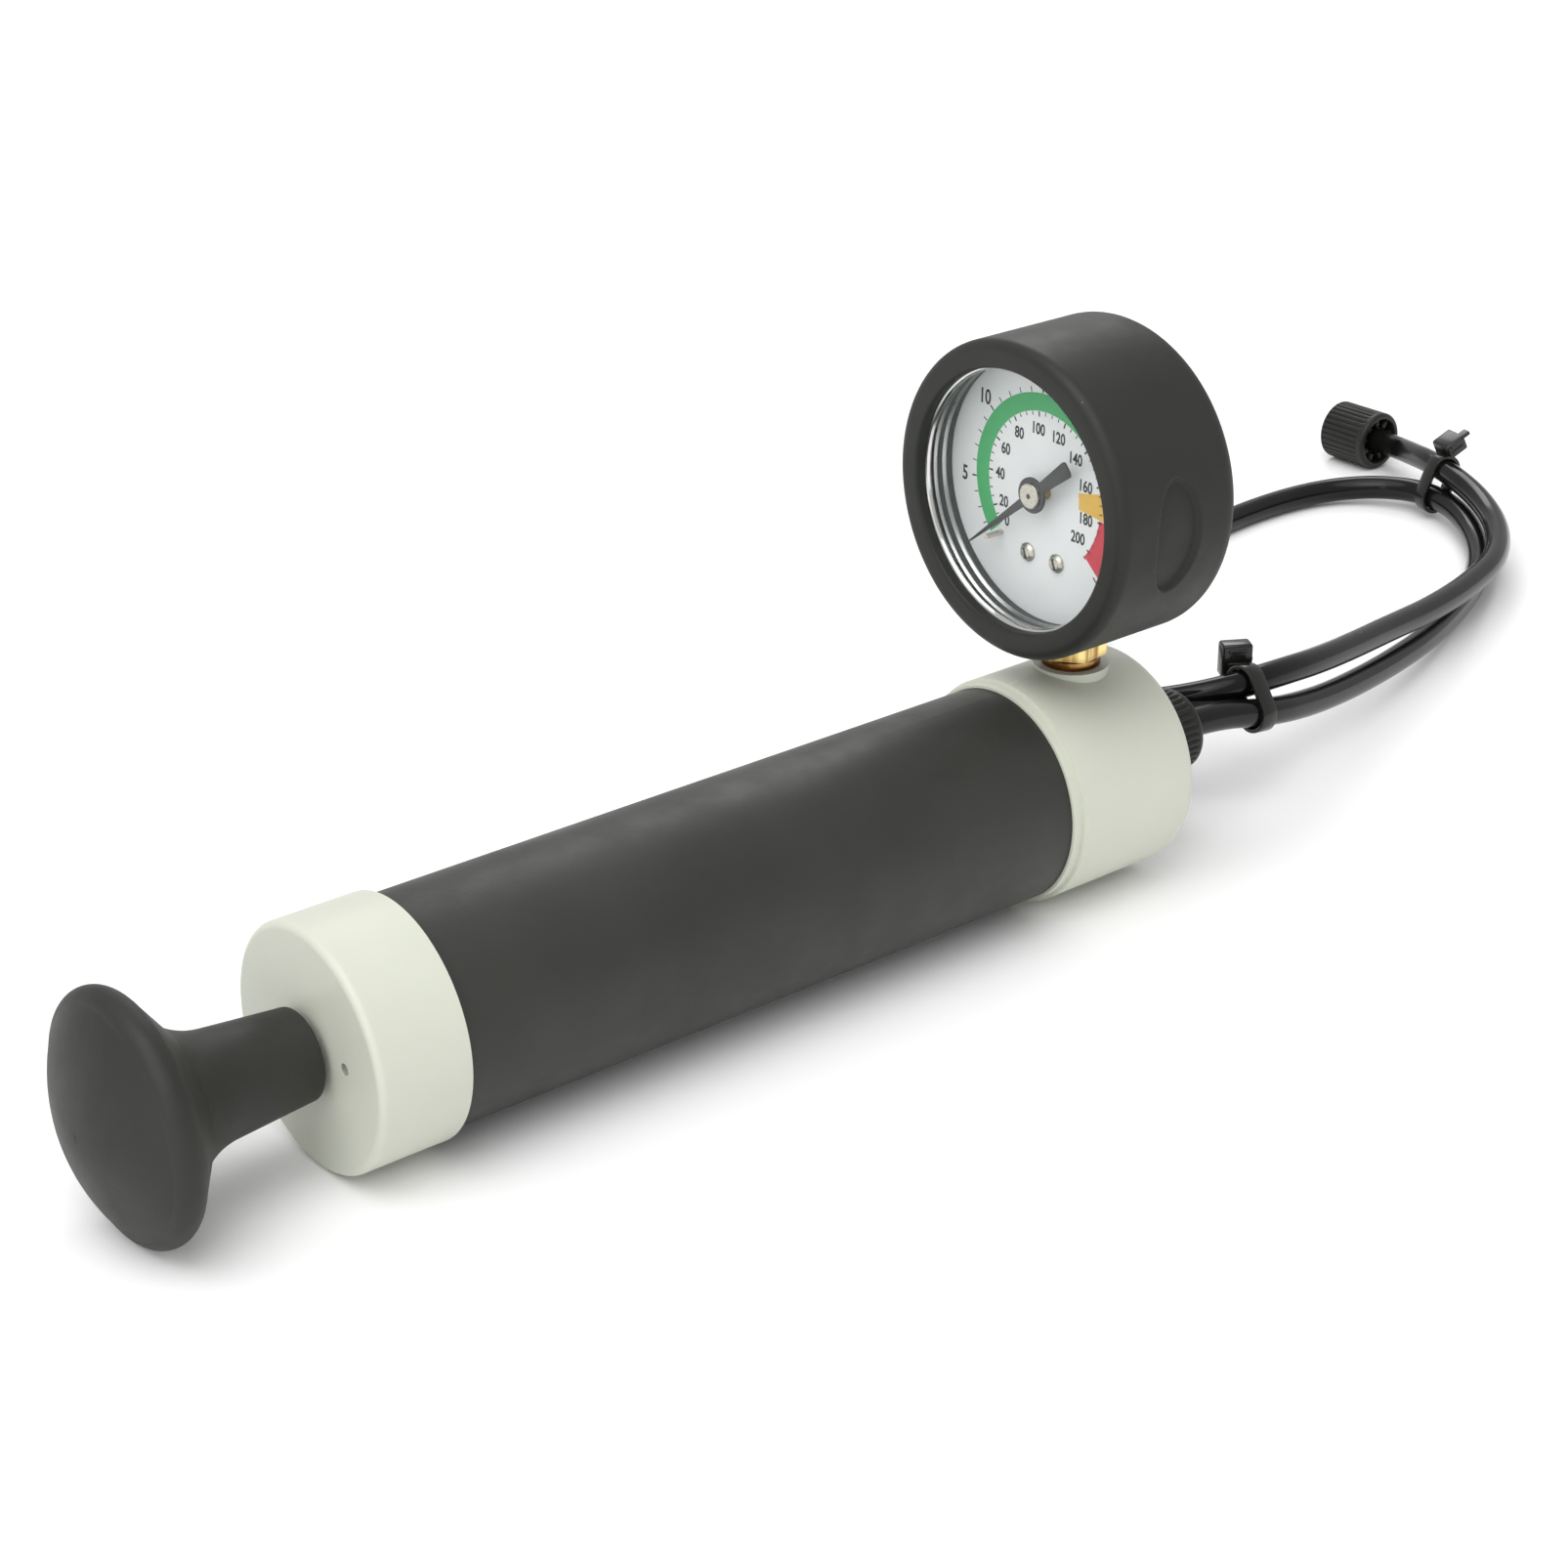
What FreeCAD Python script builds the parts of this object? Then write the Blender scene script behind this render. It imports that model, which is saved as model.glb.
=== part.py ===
import FreeCAD, Part
import Sketcher
import math
import os
import re
from FreeCAD import Placement, Rotation, Vector

# Hand pump with a dial gauge and a coiled test hose, in millimetres.
# X runs along the pump from the handle to the outlet, Z is up, the floor is z = 0.
# Lengths along the pump are counted from the outer face of the handle-end cap.
SIZES = {
    # pump barrel and caps
    "barrel_radius": 25,
    "barrel_wall": 3,
    "cap_radius": 26.5,
    "cap_fit": 0.05,
    "handle_cap_length": 21,
    "cap_front_wall": 4,
    "cap_edge": 1.6,
    "rear_edge_round": 2.6,
    "outlet_cap_start": 183.4,
    "outlet_cap_length": 38,
    "outlet_core": 27,
    "lip_radius": 25.7,
    "lip_length": 2.7,
    "vent_radius": 1.3,
    "vent_offset": 13.6,
    "vent_rise": 1.8,
    # plunger
    "rod_radius": 4,
    "rod_fit": 0.05,
    "bush_radius": 8,
    "bush_sleeve_radius": 6.2,
    "bush_flange": 2,
    "bush_recess": 0.2,
    "knob_front": 51,
    "knob_depth": 7.5,
    "knob_face_radius": 23.8,
    "knob_rim_width": 7,
    "knob_rim_round": 3.8,
    "knob_back_radius": 24.3,
    "knob_slope": 6.5,
    "knob_slope_radius": 15.4,
    "neck_start": 20,
    "neck_radius": 11.3,
    "neck_bow": 17,
    "shank_radius": 9.7,
    "shank_edge": 1,
    "rod_socket": 16,
    "handle_gap": 1.6,
    "piston_radius": 21.4,
    "piston_plate": 3,
    "cup_length": 8,
    "cup_wall": 2.2,
    "cup_shoulder": 1.5,
    "spreader_radius": 12,
    "back_plate_radius": 18.5,
    "rod_tip": 1,
    "bore_fit": 0.08,
    "piston_end_gap": 3,
    "nut_height": 4.5,
    "nut_across": 11,
    # check valve and passages
    "passage_radius": 1.6,
    "valve_bore_radius": 7,
    "valve_bore_depth": 12,
    "valve_seat_length": 4,
    "ball_radius": 3,
    "ball_seat_gap": 0.3,
    "spring_coil_radius": 2.1,
    "spring_wire": 0.2,
    "seat_mouth_share": 0.8,
    # gauge socket in the outlet cap
    "stem_x": 205.6,
    "boss_radius": 8.8,
    "boss_rise": 0.7,
    "boss_root": 6,
    "cut_over": 1,
    "port_radius": 6.58,
    "port_depth": 12.5,
    "seal_washer": 1.6,
    # gauge stem
    "collar_radius": 6.8,
    "collar_height": 2.4,
    "collar_edge": 0.5,
    "hex_turn": 10,
    "hex_across": 14,
    "hex_height": 4.7,
    "neck_stem_radius": 5.2,
    "socket_block_width": 14,
    "socket_block_height": 9.5,
    "socket_block_depth": 8.8,
    "socket_block_lift": 2.2,
    "socket_block_foot": 4,
    # gauge
    "boot_seat_gap": 0.1,
    "gauge_turn": 0,
    "stem_back": 21.8,
    "boot_radius": 36.2,
    "boot_depth": 36.1,
    "boot_opening": 29.8,
    "boot_lip": 2.6,
    "boot_wall": 3.6,
    "boot_back_wall": 2.3,
    "boot_back_opening": 24,
    "boot_back_round": 4.2,
    "boot_front_round": 2.6,
    "stem_hole_gap": 0.6,
    "recess_width": 12.9,
    "recess_height": 26.4,
    "recess_depth": 1.2,
    "recess_x": 17.2,
    "recess_z": -1.8,
    "case_fit": 0.1,
    "case_wall": 0.8,
    "case_back": 1,
    "bezel_wall": 0.6,
    "bezel_bead": 0.4,
    "bezel_flange": 1.4,
    "bezel_opening": 29.4,
    "bezel_skirt": 6,
    "lens_thickness": 1.8,
    "dial_x": 11.6,
    "dial_thickness": 0.8,
    "dial_screw_x": 4.65,
    "dial_screw_z": -15.7,
    "dial_screw_radius": 0.8,
    "dial_hole": 1.9,
    # gauge movement
    "gear_module": 0.35,
    "pinion_teeth": 10,
    "sector_teeth": 80,
    "arbor_radius": 0.6,
    "pivot_fit": 0.05,
    "gear_width": 1,
    "front_plate_x": 12.5,
    "plate_thickness": 0.8,
    "plate_space": 3.1,
    "plate_half_width": 9,
    "plate_bottom": -23,
    "plate_top": 5.5,
    "plate_corner": 4,
    "pillar_radius": 1,
    "pillar_inset": 1.5,
    "pillar_low": -20.5,
    "staff_radius": 0.65,
    "gear_lift": 1,
    "sector_hub": 2.2,
    "sector_rim": 1.8,
    "sector_tail": 6,
    "sector_tail_width": 2.2,
    "sector_flank": 75,
    "link_lift": 0.3,
    "link_thickness": 0.6,
    "link_width": 1.6,
    "link_pin": 0.5,
    "link_eye": 1.28,
    "hair_spring_radius": 1.2,
    "hair_spring_pitch": 0.45,
    "hair_spring_strip": 0.18,
    "hair_spring_width": 0.4,
    "hair_spring_half_turns": 7,
    "tube_coil_radius": 24.6,
    "tube_coil_width": 8,
    "tube_coil_thickness": 2,
    "tube_root": 1.4,
    "tube_tip_angle": 192,
    "tube_tip_sweep": 7,
    "tube_tip_wall": 0.6,
    "tube_tip_gap": 0.2,
    "pointer_reach": 26,
    "pointer_tail": 14.5,
    "pointer_hub": 3.1,
    "pointer_x": 7.3,
    "pointer_thickness": 0.5,
    "pointer_root": 1.1,
    "pointer_tail_half": 1.5,
    "pointer_neck_half": 0.9,
    "pointer_tip": 0.15,
    "pointer_cap_radius": 2.5,
    "pointer_cap_length": 0.8,
    "pointer_cap_round": 0.3,
    "pointer_zero": -40,
    "pointer_sweep": 258,
    "zero_pin_reach": 19,
    "zero_pin_angle": -45.2,
    "zero_pin_rise": 0.6,
    "zero_pin_radius": 0.6,
    # hose and its fittings
    "hose_radius": 3.5,
    "hose_bore": 2.2,
    "barb_radius": 2.15,
    "barb_hole": 1.1,
    "outlet_barb_length": 10,
    "end_barb_length": 7.5,
    "barb_taper": 0.5,
    "barb_flange": 2,
    "outlet_nut_radius": 10,
    "outlet_nut_length": 20.5,
    "rib_height": 0.5,
    "rib_width": 0.75,
    "outlet_nut_ribs": 48,
    "spigot_radius": 7.5,
    "spigot_length": 10,
    "end_nut_radius": 8.8,
    "end_nut_length": 17,
    "end_nut_wall": 3.5,
    "end_nut_recess": 4,
    "end_nut_recess_radius": 7,
    "end_nut_ribs": 36,
    "end_thread_radius": 6.58,
    "thread_relief": 0.3,
    "tail_flange_radius": 6.2,
    "tail_flange": 1.8,
    "end_washer": 2,
    "washer_hole": 2.5,
    "hose_clear": 0.5,
    "seat_gap": 0.3,
    "tie_thickness": 1.1,
    "tie_width": 4.6,
    "tie_slack": 0.3,
    "tie_gap": 0.25,
    "tie_head": 6.8,
    "tie_head_height": 4.8,
    "near_tie_tail": 0.6,
    "far_tie_tail": 4,
}

# Route of the hose: from the outlet, once round the loop on the floor, back along the front
# over its own first turn, and round to the end fitting. Heights are above the floor.
HOSE_ROUTE = [
    (252.0, 0.0, 26.5),
    (275.0, -0.2, 21.0),
    (296.0, 4.6, 16.3),
    (317.0, 10.6, 12.8),
    (341.0, 18.2, 9.6),
    (368.0, 27.6, 6.8),
    (398.0, 41.0, 4.6),
    (422.4, 54.4, 4.0),
    (440.0, 69.8, 5.0),
    (451.3, 86.5, 6.6),
    (455.6, 102.2, 6.8),
    (451.9, 116.1, 5.6),
    (442.0, 126.0, 4.4),
    (427.7, 130.4, 3.8),
    (408.0, 130.8, 3.6),
    (387.0, 128.2, 3.6),
    (364.5, 122.2, 4.0),
    (340.5, 113.0, 5.2),
    (314.0, 100.8, 7.2),
    (287.0, 87.0, 10.0),
    (264.5, 70.5, 12.5),
    (250.5, 52.0, 16.0),
    (246.5, 34.5, 19.5),
    (251.0, 19.5, 23.2),
    (260.5, 9.0, 26.6),
    (271.0, 4.5, 28.4),
    (284.5, 4.3, 28.0),
    (299.0, 7.0, 25.8),
    (318.5, 12.6, 22.6),
    (341.0, 19.6, 19.2),
    (366.0, 26.2, 16.0),
    (393.0, 34.8, 13.6),
    (417.5, 45.0, 12.4),
    (437.0, 60.5, 12.2),
    (449.0, 77.0, 13.2),
    (454.8, 92.0, 14.8),
    (460.2, 106.0, 14.6),
    (467.2, 118.6, 12.0),
    (474.5, 131.5, 9.2),
    (474.5, 145.5, 9.0),
]

# Share of the shorter of two runs that the bend between them takes up.
BEND_SHARE = 0.45
# Distance between the points at which the hose is measured against itself.
LOOK_STEP = 4

# Tooth heights in modules from the pitch circle, and half widths as shares of the pitch.
TOOTH_ROOT = 1.15
TOOTH_TIP = 0.75
TOOTH_ROOT_SHARE = 0.34
TOOTH_TIP_SHARE = 0.1
# Direction of the dial's top, in degrees from +Y.
UPWARD = 90

# Where each tie holds the lower and the upper strand.
NEAR_TIE_UNDER = (274.5, 0.3, 21.1)
NEAR_TIE_OVER = (275.1, 4.6, 28.3)
FAR_TIE_UNDER = (454.6, 99.9, 6.7)
FAR_TIE_OVER = (457.4, 98.8, 14.7)

doc = FreeCAD.newDocument("pressure_tester")
sheet = doc.addObject("Spreadsheet::Sheet", "Sizes")
for row, (alias, number) in enumerate(SIZES.items(), start=1):
    sheet.set(f"A{row}", alias)
    sheet.set(f"B{row}", str(number))
    sheet.setAlias(f"B{row}", alias)
doc.recompute()

pieces = []


def value(expression):
    """The number that an expression in the sheet's names stands for."""
    return float(sheet.evalExpression(str(expression)))


def linked(expression):
    """The same expression as another object writes it, with the sheet's name before each size."""
    return re.sub(r"[a-z_]+", lambda word: "Sizes." + word[0] if word[0] in SIZES else word[0], str(expression))


def bind(item, prop, expression):
    item.setExpression(prop, linked(expression))


def keep(piece, label, place):
    piece.Label = label
    piece.Placement = place
    pieces.append(piece)
    return piece


# Frames

def pump_length():
    """From the front of the knob to the far face of the outlet nut."""
    return value("knob_front + outlet_cap_start + outlet_cap_length + outlet_nut_length")


MID_X = pump_length() / 2 - value("knob_front")
AXIS_Z = value("cap_radius")
ON_PUMP = Placement(Vector(-MID_X, 0, AXIS_Z), Rotation())
GAUGE_TURN = Rotation(Vector(0, 0, 1), value("gauge_turn"))
ON_STEM = Placement(Vector(value("stem_x") - MID_X, 0, AXIS_Z), GAUGE_TURN)
GAUGE_HEIGHT = "cap_radius + boss_rise + collar_height + hex_height + boot_seat_gap + boot_radius"
ON_GAUGE = ON_STEM * Placement(Vector(-value("stem_back"), 0, value(GAUGE_HEIGHT)), Rotation())


def along(place, x):
    return place * Placement(Vector(value(x), 0, 0), Rotation())


# Sketches and features

def new_body(label, place):
    return keep(doc.addObject("PartDesign::Body", label), label, place)


def sketch_on(body, name, role, lift=None):
    sketch = body.newObject("Sketcher::SketchObject", name)
    plane = next(item for item in body.Origin.OriginFeatures if item.Role == role)
    sketch.AttachmentSupport = [(plane, "")]
    sketch.MapMode = "FlatFace"
    if lift is not None:
        bind(sketch, "AttachmentOffset.Base.z", lift)
    return sketch


def set_spot(sketch, geometry, point, x, y):
    """Fix one point of the sketch at two named distances from its origin."""
    for kind, expression in (("DistanceX", x), ("DistanceY", y)):
        rule = Sketcher.Constraint(kind, -1, 1, geometry, point, value(expression))
        index = sketch.addConstraint(rule)
        bind(sketch, f"Constraints[{index}]", expression)


def bowed_edge(start, end, radius):
    """Arc from start to end, bulging to the right of the way for a positive radius."""
    chord = end - start
    half = chord.Length / 2
    side = Vector(-chord.y, chord.x, 0).normalize()
    rise = math.sqrt(radius ** 2 - half ** 2)
    centre = (start + end) / 2 + side * math.copysign(rise, radius)
    first, last = (start, end) if radius > 0 else (end, start)
    angles = [math.atan2(spot.y - centre.y, spot.x - centre.x) for spot in (first, last)]
    if angles[1] < angles[0]:
        angles[1] += 2 * math.pi
    circle = Part.Circle(centre, Vector(0, 0, 1), abs(radius))
    return Part.ArcOfCircle(circle, angles[0], angles[1])


def outline(sketch, corners):
    """Closed loop through (x, y) corners; a third value bows the edge that leaves the corner."""
    spots = [Vector(value(corner[0]), value(corner[1]), 0) for corner in corners]
    ends = []
    for index, corner in enumerate(corners):
        start = spots[index]
        end = spots[(index + 1) % len(spots)]
        if len(corner) == 3:
            edge = sketch.addGeometry(bowed_edge(start, end, value(corner[2])))
            rule = sketch.addConstraint(Sketcher.Constraint("Radius", edge, abs(value(corner[2]))))
            bind(sketch, f"Constraints[{rule}]", f"abs({corner[2]})")
            ends.append((edge, 1, 2) if value(corner[2]) > 0 else (edge, 2, 1))
        else:
            edge = sketch.addGeometry(Part.LineSegment(start, end))
            ends.append((edge, 1, 2))
    for index, corner in enumerate(corners):
        edge, first, last = ends[index]
        following = ends[(index + 1) % len(ends)]
        set_spot(sketch, edge, first, corner[0], corner[1])
        sketch.addConstraint(Sketcher.Constraint("Coincident", edge, last, following[0], following[1]))


def hexagon_outline(sketch, across, turn):
    """Regular hexagon with a named size across its flats, turned by an angle in degrees."""
    corner = f"{across} / sqrt(3)"
    outline(sketch, [(f"{corner} * cos(({60 * step} + {turn}) * 1 deg)", f"{corner} * sin(({60 * step} + {turn}) * 1 deg)")
                     for step in range(6)])


def ring_mark(sketch, x, y, radius):
    """Circle at a named place with a named radius."""
    circle = Part.Circle(Vector(value(x), value(y), 0), Vector(0, 0, 1), value(radius))
    edge = sketch.addGeometry(circle)
    set_spot(sketch, edge, 3, x, y)
    rule = sketch.addConstraint(Sketcher.Constraint("Radius", edge, value(radius)))
    bind(sketch, f"Constraints[{rule}]", radius)


def turned_on(body, name, corners, axis):
    """Turn an outline in the XZ plane about one of the sketch's axes."""
    sketch = sketch_on(body, f"{name}_profile", "XZ_Plane")
    outline(sketch, corners)
    turn = body.newObject("PartDesign::Revolution", f"{name}_turned")
    turn.Profile = sketch
    turn.ReferenceAxis = (sketch, [axis])
    turn.Angle = 360
    doc.recompute()
    return body


def revolved(label, place, corners):
    """Body of revolution about its own X axis, from (x, radius) corners."""
    return turned_on(new_body(label, place), label, corners, "H_Axis")


def stood(label, place, corners):
    """Body of revolution about its own Z axis, from (radius, z) corners."""
    return turned_on(new_body(label, place), label, corners, "V_Axis")


def tube_profile(start, end, outer, inner):
    return [(start, inner), (end, inner), (end, outer), (start, outer)]


def disc_profile(start, end, radius):
    return [(start, 0), (end, 0), (end, radius), (start, radius)]


def padded(body, name, role, draw, length, lift=None):
    sketch = sketch_on(body, f"{name}_outline", role, lift)
    draw(sketch)
    pad = body.newObject("PartDesign::Pad", name)
    pad.Profile = sketch
    bind(pad, "Length", length)
    doc.recompute()
    return pad


def cut(body, name, role, draw, length, lift=None, reverse=False):
    sketch = sketch_on(body, f"{name}_outline", role, lift)
    draw(sketch)
    before = body.Shape.Volume
    pocket = body.newObject("PartDesign::Pocket", name)
    pocket.Profile = sketch
    pocket.Reversed = reverse
    bind(pocket, "Length", length)
    doc.recompute()
    assert body.Shape.Volume < before - 1e-4, f"{name} cut nothing"
    return pocket


def edges_at(shape, test):
    return [f"Edge{index}" for index, edge in enumerate(shape.Edges, start=1) if test(edge)]


def circle_edge(x, radius):
    """Test for a full circle about the X axis."""
    def test(edge):
        if edge.Degenerated or edge.Curve.TypeId != "Part::GeomCircle":
            return False
        centre = edge.Curve.Center
        off = math.hypot(centre.y, centre.z)
        return abs(centre.x - value(x)) < 0.01 and abs(edge.Curve.Radius - value(radius)) < 0.01 and off < 0.01
    return test


def rounded(body, name, radius, *rims):
    """Fillet the circular rims given as (x, radius)."""
    base = body.Tip
    names = []
    for x, rim_radius in rims:
        names += edges_at(base.Shape, circle_edge(x, rim_radius))
    fillet = body.newObject("PartDesign::Fillet", name)
    fillet.Base = (base, names)
    bind(fillet, "Radius", radius)
    doc.recompute()
    return fillet


def around(body, name, feature, count):
    """Repeat a feature round the body's X axis."""
    pattern = body.newObject("PartDesign::PolarPattern", name)
    pattern.Originals = [feature]
    pattern.Axis = (next(item for item in body.Origin.OriginFeatures if item.Role == "X_Axis"), [""])
    pattern.Angle = 360
    bind(pattern, "Occurrences", count)
    body.Tip = pattern
    doc.recompute()
    return pattern


# Pump

def build_barrel():
    inner = "barrel_radius - barrel_wall"
    revolved("barrel", ON_PUMP,
             tube_profile("cap_front_wall", "outlet_cap_start + outlet_cap_length - outlet_core", "barrel_radius", inner))


def build_handle_cap():
    bore = "barrel_radius + cap_fit"
    body = revolved("handle_end_cap", ON_PUMP, [
        (0, "bush_sleeve_radius"),
        ("cap_front_wall", "bush_sleeve_radius"),
        ("cap_front_wall", bore),
        ("handle_cap_length", bore),
        ("handle_cap_length", "cap_radius"),
        (0, "cap_radius"),
    ])
    cut(body, "vent_hole", "YZ_Plane", lambda sketch: ring_mark(sketch, "-vent_offset", "vent_rise", "vent_radius"),
        "cap_front_wall", reverse=True)
    rounded(body, "front_edge", "cap_edge", (0, "cap_radius"))


def build_bush():
    rod_hole = "rod_radius + rod_fit"
    revolved("rod_guide_bush", ON_PUMP, [
        ("bush_recess", rod_hole),
        ("cap_front_wall + bush_flange", rod_hole),
        ("cap_front_wall + bush_flange", "bush_radius"),
        ("cap_front_wall", "bush_radius"),
        ("cap_front_wall", "bush_sleeve_radius"),
        ("bush_recess", "bush_sleeve_radius"),
    ])


def build_outlet_cap():
    end = "outlet_cap_start + outlet_cap_length"
    core = f"{end} - outlet_core"
    step = "outlet_cap_start + lip_length"
    bore = "barrel_radius + cap_fit"
    body = revolved("outlet_end_cap", ON_PUMP, [
        (core, "valve_bore_radius"),
        (f"{core} + valve_bore_depth", "valve_bore_radius"),
        (f"{core} + valve_bore_depth", "passage_radius"),
        (f"{end} + spigot_length", "passage_radius"),
        (f"{end} + spigot_length", "spigot_radius"),
        (end, "spigot_radius"),
        (end, "cap_radius"),
        (step, "cap_radius"),
        (step, "lip_radius"),
        ("outlet_cap_start", "lip_radius"),
        ("outlet_cap_start", bore),
        (core, bore),
    ])
    padded(body, "gauge_boss", "XY_Plane", lambda sketch: ring_mark(sketch, "stem_x", 0, "boss_radius"),
           "cap_radius + boss_rise - lip_radius + boss_root", "lip_radius - boss_root")
    port_bottom = "cap_radius + boss_rise - port_depth"
    cut(body, "gauge_port", "XY_Plane", lambda sketch: ring_mark(sketch, "stem_x", 0, "port_radius"),
        "port_depth + cut_over", port_bottom, reverse=True)
    cut(body, "gauge_passage", "XY_Plane", lambda sketch: ring_mark(sketch, "stem_x", 0, "passage_radius"),
        port_bottom, reverse=True)
    rounded(body, "rear_edge", "rear_edge_round", (end, "cap_radius"))


def build_valve():
    core = "outlet_cap_start + outlet_cap_length - outlet_core"
    seat_end = f"{core} + valve_seat_length"
    mouth = "ball_radius * seat_mouth_share"
    revolved("check_valve_seat", ON_PUMP, [
        (core, "passage_radius"),
        (f"{seat_end} - valve_seat_length / 2", "passage_radius"),
        (seat_end, mouth),
        (seat_end, "valve_bore_radius - cap_fit"),
        (core, "valve_bore_radius - cap_fit"),
    ])
    ball = doc.addObject("Part::Sphere", "check_valve_ball")
    bind(ball, "Radius", "ball_radius")
    centre = f"{seat_end} + sqrt(ball_radius ^ 2 - ({mouth}) ^ 2) + ball_seat_gap"
    keep(ball, "check_valve_ball", along(ON_PUMP, centre))
    outer = "spring_coil_radius + spring_wire"
    inner = "spring_coil_radius - spring_wire"
    start = f"{centre} + ball_radius + spring_wire"
    revolved("check_valve_spring", ON_PUMP,
             tube_profile(start, f"{core} + valve_bore_depth - spring_wire", outer, inner))


def build_plunger():
    rod_end = "outlet_cap_start + outlet_cap_length - outlet_core - piston_end_gap"
    nut_start = f"{rod_end} - nut_height - rod_tip"
    back_plate = f"{nut_start} - piston_plate"
    cup_start = f"{back_plate} - cup_length"
    front_plate = f"{cup_start} - piston_plate"
    rim = "-knob_front + knob_depth"
    slope = f"{rim} + knob_rim_width"
    dome = "(knob_depth ^ 2 + knob_face_radius ^ 2) / (2 * knob_depth)"
    grip = revolved("plunger_handle", ON_PUMP, [
        ("-knob_front", 0),
        ("-knob_front + rod_socket", 0),
        ("-knob_front + rod_socket", "rod_radius"),
        ("-handle_gap", "rod_radius"),
        ("-handle_gap", "shank_radius"),
        ("-neck_start", "neck_radius", "-neck_bow"),
        (f"{slope} + knob_slope", "knob_slope_radius"),
        (slope, "knob_back_radius", "knob_rim_round"),
        (rim, "knob_face_radius", dome),
    ])
    rounded(grip, "shank_edge_round", "shank_edge", ("-handle_gap", "shank_radius"))
    revolved("piston_rod", ON_PUMP, disc_profile("-knob_front + rod_socket", rod_end, "rod_radius"))
    revolved("piston_front_plate", ON_PUMP, tube_profile(front_plate, cup_start, "piston_radius", "rod_radius"))
    lip = "barrel_radius - barrel_wall - bore_fit"
    revolved("piston_cup_seal", ON_PUMP, [
        (cup_start, "rod_radius"),
        (f"{cup_start} + cup_wall", "rod_radius"),
        (f"{cup_start} + cup_wall", f"{lip} - cup_wall"),
        (f"{back_plate} - seat_gap", f"{lip} - cup_wall / 2"),
        (f"{back_plate} - seat_gap", lip),
        (f"{cup_start} + cup_shoulder", lip),
        (cup_start, f"{lip} - cup_shoulder"),
    ])
    revolved("piston_spreader", ON_PUMP,
             tube_profile(f"{cup_start} + cup_wall", back_plate, "spreader_radius", "rod_radius"))
    revolved("piston_back_plate", ON_PUMP, tube_profile(back_plate, nut_start, "back_plate_radius", "rod_radius"))
    nut = new_body("piston_lock_nut", along(ON_PUMP, nut_start))

    def hexagon(sketch):
        hexagon_outline(sketch, "nut_across", 0)
        ring_mark(sketch, 0, 0, "rod_radius")

    padded(nut, "nut_block", "YZ_Plane", hexagon, "nut_height")


# Gauge

CASE_OUTER = "boot_radius - boot_wall - case_fit - bezel_wall"
CASE_INNER = f"{CASE_OUTER} - case_wall"
BLOCK_BOTTOM = f"{GAUGE_HEIGHT} - ({CASE_INNER}) + socket_block_lift"
LINK_X = "front_plate_x + plate_thickness + gear_lift + gear_width + link_lift"


def build_boot():
    back = "boot_depth - boot_back_wall"
    cavity = "boot_radius - boot_wall"
    body = doc.addObject("PartDesign::Body", "boot_blank")
    turned_on(body, "boot_blank", [
        (0, "boot_opening"),
        ("boot_lip", "boot_opening"),
        ("boot_lip", cavity),
        (back, cavity),
        (back, "boot_back_opening"),
        ("boot_depth", "boot_back_opening"),
        ("boot_depth", "boot_radius"),
        (0, "boot_radius"),
    ], "H_Axis")
    rounded(body, "front_edge", "boot_front_round", (0, "boot_radius"))
    rounded(body, "back_edge", "boot_back_round", ("boot_depth", "boot_radius"))
    cut(body, "stem_hole", "XY_Plane", lambda sketch: ring_mark(sketch, "stem_back", 0, "neck_stem_radius + stem_hole_gap"),
        "boot_wall + 3 * cut_over", "-boot_radius - cut_over", reverse=True)
    boot = doc.addObject("Part::Cut", "gauge_boot")
    boot.Base = body
    boot.Tool = side_recesses()
    keep(boot, "gauge_boot", ON_GAUGE)


def side_recesses():
    """Shallow oval hollows of even depth on both sides of the boot."""
    oval = doc.addObject("Part::Ellipse", "recess_oval")
    bind(oval, "MajorRadius", "recess_height / 2")
    bind(oval, "MinorRadius", "recess_width / 2")
    upright = Rotation(Vector(0, 0, 1), Vector(1, 0, 0), Vector(0, 1, 0), "XYZ")
    oval.Placement = Placement(Vector(value("recess_x"), 0, value("recess_z")), upright)
    bar = doc.addObject("Part::Extrusion", "recess_bar")
    bar.Base = oval
    bar.DirMode = "Normal"
    bar.Solid = True
    bind(bar, "LengthFwd", "boot_radius + cut_over")
    bind(bar, "LengthRev", "boot_radius + cut_over")
    core = doc.addObject("Part::Cylinder", "recess_core")
    bind(core, "Radius", "boot_radius - recess_depth")
    bind(core, "Height", "boot_depth")
    core.Placement = Placement(Vector(), Rotation(Vector(0, 1, 0), 90))
    hollows = doc.addObject("Part::Cut", "recess_hollows")
    hollows.Base = bar
    hollows.Tool = core
    doc.recompute()
    return hollows


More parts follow.
